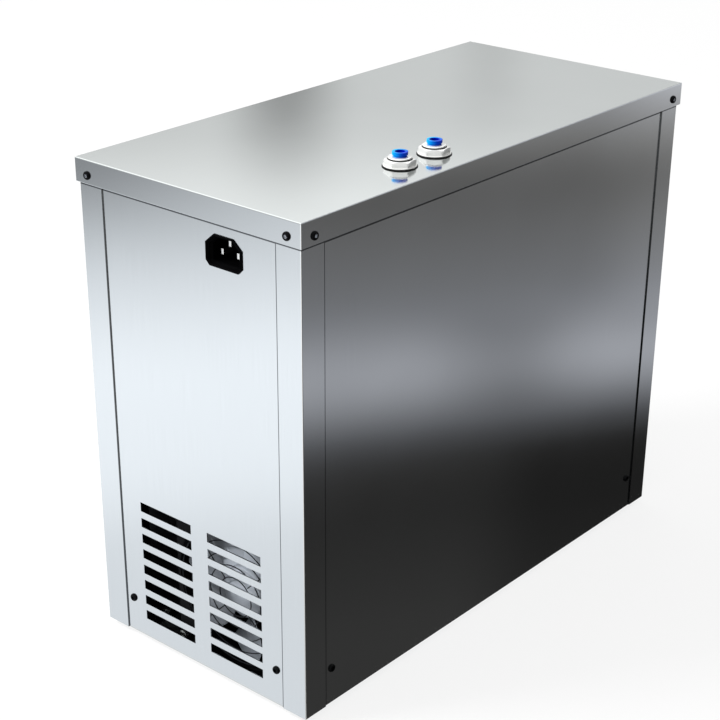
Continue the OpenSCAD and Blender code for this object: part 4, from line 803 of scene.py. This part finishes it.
def hubBlock(f):
    # Cup turned about the axle, its front edge rounded, with a shallow dish
    flat = f["hub"] - f["hubRound"]
    front = f["dish"] + [(flat, 0)] + arc((flat, f["hubRound"]), f["hubRound"], -90, 0, 7)
    inner = f["hub"] - f["hubWall"]
    cup = [(f["hub"], f["hubLength"]), (inner, f["hubLength"]), (inner, f["hubWall"] + f["fillet"]),
           (inner - f["fillet"], f["hubWall"])]
    axle = [(f["axle"], f["hubWall"]), (f["axle"], f["hubLength"]), (0, f["hubLength"])]
    return turned(front + cup + axle, 72)


rotorAt = (fanAt[0], hubFront, fanAt[2])
wheel = [hubBlock(fan)] + [bladeBlock(fan, middle) for middle in angles(fan["blades"], fan["start"])]
standFor("fan_wheel", [placed(block, rotorAt, (0, 1, 0)) for block in wheel], "fan_rotor", sharp=40)

# Wire guard: five rings in front of four diagonal rods that end in eyes
guard = dict(wire=0.42, shares=[0.26, 0.42, 0.58, 0.74, 0.9], bore=58, ringHeight=1.1, rodHeight=2.3,
             hole=52.5, eye=3.0, eyeTop=4)


def ringBlock(radius, wireRadius, height, sides=96):
    # Ring of wire: a circle of the wire's radius turned about the axis
    section = [(radius + wireRadius * cos(t), height + wireRadius * sin(t)) for t in angles(12)]
    return turned(section, sides, True)


def rodBlock(wireRadius, length):
    # Straight wire along Z with rounded ends
    low = arc((0, wireRadius), wireRadius, -90, 0)
    high = arc((0, length - wireRadius), wireRadius, 0, 90)
    return turned([(0, 0)] + low + high + [(0, length)], 12)


def guardBlocks(g):
    # Rings at shares of the bore's radius, then on each diagonal a rod and its eye of
    # two rings about the frame's screw hole
    blocks = [ringBlock(share * g["bore"], g["wire"], g["ringHeight"]) for share in g["shares"]]
    first = g["shares"][0] * g["bore"]
    diagonal = g["hole"] * 2 ** 0.5
    for quarter in angles(4, pi / 4):
        way = np.array([cos(quarter), sin(quarter), 0])
        start = way * first * mm + np.array([0, 0, g["rodHeight"] * mm])
        blocks.append(placed(rodBlock(g["wire"], diagonal - g["eye"] - first), start, way))
        blocks += [placed(ringBlock(g["eye"], g["wire"], height, 32), way * diagonal * mm)
                   for height in (g["wire"], g["eyeTop"] - g["wire"])]
    return blocks


guardAt = (fanAt[0], boxOf("fan_guard")[0][1], fanAt[2])
standFor("wire_guard", [placed(block, guardAt, (0, 1, 0)) for block in guardBlocks(guard)], "fan_guard")
softEdges("fan_frame", 0.5)
print("fan ready")


# Inside: rounded or smoothed copies, by edge radius in millimetres

softRadii = {"thermostat_nut": 0.25, "thermostat_spindle": 0.25, "thermostat_body": 0.8,
             "terminal_cover": 1.2, "compressor_plate": 0.8, "foam_lower": 2.5, "foam_upper": 2.5,
             "tank_unions": 0.6, "tank_stand": 0.3, "tank_straps": 0.2, "foot_bolts": 0.3,
             "compressor_grommets": 0.8, "tank": 0.5, "fan_shroud": 0.3,
             "chassis_screws": 0.3, "pump_cylinder": 0.3, "motor_rotor": 0.3, "motor_stator": 0.4,
             "compressor_shell_lower": 0.5, "compressor_shell_upper": 0.5, "filter_drier": 0.4,
             "condenser_end_plates": 0.2}
for name, radius in softRadii.items():
    softEdges(name, radius)
for name in ("evaporator_coil", "capillary_tube", "suction_line", "discharge_line", "liquid_line",
             "condenser_tube", "inlet_tube", "outlet_tube", "thermostat_sensor", "wiring"):
    softEdges(name, 0, sharp=62)
print("inside ready")


# Camera, floor and light

view = dict(place=(0.749663, -0.922791, 0.699274), azimuth=40.96718, elevation=25.83931, roll=0.11853,
            focal=1698.52, centre=(345, 420), frame=720, sensor=36, farthest=100)
mirrorLens = (2 * panelFace[0] - view["place"][0], view["place"][1], 0)  # seen in the right panel


def addCamera():
    # Camera solved from the photographed corners of the casing
    data = bpy.data.cameras.new("camera")
    camera = bpy.data.objects.new("camera", data)
    bpy.context.scene.collection.objects.link(camera)
    data.sensor_width = view["sensor"]
    data.lens = view["focal"] / view["frame"] * data.sensor_width
    data.shift_x = 0.5 - view["centre"][0] / view["frame"]
    data.shift_y = view["centre"][1] / view["frame"] - 0.5
    data.clip_end = view["farthest"]
    camera.location = view["place"]
    turn = Euler((radians(90 - view["elevation"]), 0, radians(view["azimuth"]))).to_matrix()
    camera.rotation_euler = (turn @ Matrix.Rotation(radians(view["roll"]), 3, "Z")).to_euler()
    bpy.context.scene.camera = camera


def stagePlane(name, low, high, z, material):
    # Flat rectangle of the set
    mesh = bpy.data.meshes.new(name)
    corners = [(low[0], low[1], z), (high[0], low[1], z), (high[0], high[1], z), (low[0], high[1], z)]
    mesh.from_pydata(corners, [], [(0, 1, 2, 3)])
    mesh.materials.append(material)
    plane = bpy.data.objects.new(name, mesh)
    bpy.context.scene.collection.objects.link(plane)
    return plane


floor = dict(reach=8, paint="#767676", glow=0.81)


def addFloor():
    # White sweep: part plain paint that takes the shadow, part its own white, which
    # only rays that show the background see
    material, tree, shader = newMaterial("white paper sweep", Roughness=1.0, Specular_IOR_Level=0.0)
    shader.inputs["Base Color"].default_value = colour(floor["paint"])
    shader.inputs["Emission Color"].default_value = (1, 1, 1, 1)
    path = addNode(tree, "LightPath", {}).outputs
    seen = calculate(tree, "MAXIMUM", path["Is Camera Ray"], path["Is Glossy Ray"])
    seen = calculate(tree, "MAXIMUM", seen, path["Is Transmission Ray"])
    tree.links.new(between(tree, seen, 0.0, floor["glow"], 0, 1), shader.inputs["Emission Strength"])
    far = floor["reach"]
    stagePlane("floor", (-far, -far), (far, far), 0, material)


plainTint = np.array([1.025, 1.0, 0.99])                # of a card's tone that isn't cool
headroom = 1.1                                          # of a ramp above its brightest tone
anywhere = -9                                           # a bound that no place on a card reaches
cardRise = 1 * mm                                       # of the cards above the floor


def window(tree, value, start, full, last, end):
    # 0 up to start, 1 from full to last, 0 from end on, with soft flanks
    return calculate(tree, "MULTIPLY", between(tree, value, 0, 1, start, full, "SMOOTHSTEP"),
                     between(tree, value, 1, 0, last, end, "SMOOTHSTEP"))


def reflectorCard(name, low, high, heading, tint, tones, nearest=anywhere, patches=()):
    # Glowing card laid beside the object, which lights nothing and shows only as a
    # painted reflection in its polished sides. Its tone changes
    # with the distance along a heading on the floor, measured with Y held at nearest
    # where it is less; tones are triples of distance, tone and how far the colour goes
    # from plain to the tint. A patch multiplies the tone by 1 + gain inside a window of
    # distance and a window of bearing, in degrees from the mirror image of the lens
    material = bpy.data.materials.new(name)
    material.use_nodes = True
    tree = material.node_tree
    tree.nodes.clear()
    place = addNode(tree, "TexCoord", {}).outputs["Object"]
    least = (anywhere, nearest, anywhere)
    bounded = addNode(tree, "VectorMath", {0: place, 1: least}, operation="MAXIMUM").outputs[0]
    way = (cos(radians(heading)), sin(radians(heading)), 0)
    along = addNode(tree, "VectorMath", {0: bounded, 1: way}, operation="DOT_PRODUCT").outputs["Value"]
    near, far = tones[0][0], tones[-1][0]
    full = max(tone for distance, tone, cool in tones)
    ramp = addNode(tree, "ValToRGB", {"Fac": between(tree, along, 0, 1, near, far)})
    ramp.color_ramp.interpolation = "CARDINAL"
    while len(ramp.color_ramp.elements) < len(tones):
        ramp.color_ramp.elements.new(0.5)
    for element, (distance, tone, cool) in zip(ramp.color_ramp.elements, tones):
        element.position = (distance - near) / (far - near)
        cast = plainTint + cool * (np.array(tint) - plainTint)
        element.color = (*(tone / full / headroom * cast).tolist(), 1)
    offset = addNode(tree, "VectorMath", {0: place, 1: mirrorLens}, operation="SUBTRACT").outputs[0]
    axes = addNode(tree, "SeparateXYZ", {0: offset}).outputs
    bearing = calculate(tree, "DEGREES", calculate(tree, "ARCTAN2", axes[1], axes[0]))
    strength = full * headroom
    for gain, distances, bearings in patches:
        inside = window(tree, along, *distances)
        share = calculate(tree, "MULTIPLY", inside, window(tree, bearing, *bearings))
        factor = calculate(tree, "ADD", 1.0, calculate(tree, "MULTIPLY", gain, share))
        strength = calculate(tree, "MULTIPLY", strength, factor)
    glow = addNode(tree, "Emission", {"Color": ramp.outputs[0], "Strength": strength})
    addNode(tree, "OutputMaterial", {"Surface": glow.outputs[0]})
    card = stagePlane(name, low, high, cardRise, material)
    for ray in ("camera", "diffuse", "shadow", "transmission"):
        setattr(card, "visible_" + ray, False)


# Soft key box, and a small lamp with a narrow cone for the light that falls through the
# vents on the fan, whose power gives the fan its written colour
lamps = dict(
    key=dict(kind="AREA", place=(-1.2, -1.6, 2.2), aim=(0, 0, 0.2), energy=60, shape="DISK", size=1.0),
    vent_spot=dict(kind="SPOT", place=(0.04, -1.6, 1.27), aim=(0.026, -0.194, 0.084), energy=120,
                   shadow_soft_size=0.004, spot_size=radians(1.35), spot_blend=0.5))


def addLamp(name, kind, place, aim, **settings):
    # Lamp turned to a point, which isn't mirrored in the metal
    data = bpy.data.lights.new(name, kind)
    for key, value in settings.items():
        setattr(data, key, value)
    lamp = bpy.data.objects.new(name, data)
    bpy.context.scene.collection.objects.link(lamp)
    lamp.location = place
    lamp.rotation_euler = (Vector(aim) - Vector(place)).to_track_quat("-Z", "Y").to_euler()
    lamp.visible_glossy = False


# Dome: polished faces see it brighter with height. Each mark multiplies it by 1 + gain:
# its bearing and the degrees off it where it is full and where it ends, the window of
# heights (sine), the gain. Three narrow dark posts stand at the back, a dark wall on the
# right, and two bright banks light the bends. Matt faces see it brighter on the left
dome = dict(low=0.8, high=1.34, rise=(0.27, 0.336), shine=(0.985, 1, 0.995, 1), plain=0.85, lean=0.8,
            leanTo=(-0.766, -0.643, 0), white=(1, 1, 1, 1),
            marks=[(133.1, 0, 2.7, (-2, -1, 0.25, 0.33), -0.62),
                   (126.1, 0, 1.8, (-2, -1, 0.24, 0.29), -0.16),
                   (141, 0, 7.5, (-2, -1, 0.28, 0.32), -0.08),
                   (25, 48, 66, (-2, -1, 0.45, 0.52), -0.85),
                   (-150, 25, 50, (0.5, 0.6, 0.85, 0.95), 0.6),
                   (58, 14, 28, (0.48, 0.56, 0.72, 0.8), 0.6)])


def addWorld():
    # White light all round; its tone for polished faces goes from low to high with the
    # height of the ray, times the marks. For matt faces it is plain + lean * cosine of
    # the angle to the left
    world = bpy.data.worlds.new("studio")
    bpy.context.scene.world = world
    world.use_nodes = True
    tree = world.node_tree
    tree.nodes.clear()
    path = addNode(tree, "LightPath", {}).outputs
    way = addNode(tree, "TexCoord", {}).outputs["Generated"]
    east, north, up = addNode(tree, "SeparateXYZ", {0: way}).outputs
    compass = calculate(tree, "DEGREES", calculate(tree, "ARCTAN2", north, east))
    tone = between(tree, up, dome["low"], dome["high"], *dome["rise"], "SMOOTHSTEP")
    for bearing, full, end, heights, gain in dome["marks"]:
        apart = calculate(tree, "SUBTRACT", compass, bearing)
        aside = addNode(tree, "Math", {0: apart, 1: 180.0, 2: -180.0}, operation="WRAP").outputs[0]
        inside = between(tree, calculate(tree, "ABSOLUTE", aside), 1, 0, full, end, "SMOOTHSTEP")
        share = calculate(tree, "MULTIPLY", inside, window(tree, up, *heights))
        factor = calculate(tree, "ADD", 1.0, calculate(tree, "MULTIPLY", gain, share))
        tone = calculate(tree, "MULTIPLY", tone, factor)
    shine = addNode(tree, "Background", {"Color": dome["shine"], "Strength": tone})
    lean = addNode(tree, "VectorMath", {0: way, 1: dome["leanTo"]}, operation="DOT_PRODUCT").outputs["Value"]
    matt = calculate(tree, "ADD", dome["plain"], calculate(tree, "MULTIPLY", dome["lean"], lean))
    plain = addNode(tree, "Background", {"Color": dome["white"], "Strength": matt})
    white = addNode(tree, "Background", {"Color": dome["white"], "Strength": 1.0})
    metal = addNode(tree, "MixShader", {0: path["Is Glossy Ray"], 1: plain.outputs[0], 2: shine.outputs[0]})
    seen = addNode(tree, "MixShader", {0: path["Is Camera Ray"], 1: metal.outputs[0], 2: white.outputs[0]})
    addNode(tree, "OutputWorld", {"Surface": seen.outputs[0]})


# Glowing cards on the floor, seen only as painted reflections: a dark one on the right,
# a bright one across the front and a small one in the corner between them. Places in
# metres, distances and tones as reflectorCard says
cardReach = 4
rightStart = panelFace[0] + 2 * mm
frontStart = -panelFace[1] - 5 * mm
cards = {}
cards["dark_card"] = dict(
    low=(rightStart, -panelFace[1]), high=(cardReach, cardReach), heading=34, tint=(0.985, 1.0, 1.09),
    tones=[(0.04, 0.05, 0), (0.1, 0.045, 0), (0.2, 0.035, 0), (0.26, 0.033, 0), (0.3, 0.038, 0),
           (0.335, 0.055, 0.5), (0.38, 0.135, 1), (0.43, 0.33, 1), (0.47, 0.485, 1), (0.51, 0.55, 1),
           (0.55, 0.5, 1), (0.59, 0.415, 1), (0.63, 0.33, 1), (0.67, 0.27, 1), (0.71, 0.24, 0.8),
           (0.8, 0.21, 0.6), (0.9, 0.18, 0.3), (1.0, 0.148, 0.1), (1.06, 0.14, 0), (1.12, 0.155, 0),
           (1.18, 0.2, 0), (1.24, 0.25, 0), (1.3, 0.305, 0.3), (1.42, 0.42, 0.6), (1.6, 0.6, 1),
           (2.4, 0.9, 1)],
    patches=[(-0.37, (0.36, 0.45, 0.58, 0.68), (51.0, 55.0, 55.1, 58.4)),
             (0.5, (0.56, 0.68, 8, 9), (57.3, 60.3, 80, 90)),
             (-0.42, (-1, 0, 0.3, 0.37), (53, 57, 80, 90))])
cards["bright_card"] = dict(
    low=(-cardReach, -cardReach), high=(panelFace[0] + mm, frontStart), heading=42, nearest=-0.88,
    tint=(0.965, 1.0, 1.057),
    tones=[(-2.4, 0.9, 1), (-1.8, 0.5, 1), (-1.5, 0.36, 1), (-1.36, 0.37, 1), (-1.294, 0.429, 1),
           (-1.25, 0.51, 1), (-1.2, 0.615, 1), (-1.15, 0.735, 1), (-1.1, 0.838, 1), (-1.05, 0.943, 1),
           (-1.0, 1.03, 1), (-0.95, 1.117, 1), (-0.9, 1.18, 1), (-0.85, 1.246, 1), (-0.8, 1.32, 1),
           (-0.75, 1.38, 1), (-0.7, 1.415, 1), (-0.65, 1.43, 1), (-0.6, 1.417, 1), (-0.53, 1.397, 1),
           (-0.47, 1.372, 1), (-0.42, 1.314, 1), (-0.38, 1.24, 1), (-0.34, 1.155, 1), (-0.3, 1.12, 1),
           (-0.24, 1.092, 1), (0.1, 1.09, 1)])
cards["edge_card"] = dict(
    low=(rightStart, -cardReach), high=(cardReach, frontStart), heading=45, tint=(1, 1, 1),
    tones=[(-9, 1.6, 0), (-0.2, 1.6, 0), (0.0, 0.1, 0), (9, 0.1, 0)])

addCamera()
addFloor()
addWorld()
for name, card in cards.items():
    reflectorCard(name, **card)
for name, lamp in lamps.items():
    addLamp(name, **lamp)
bpy.context.scene.view_settings.view_transform = "Standard"
print("set ready")
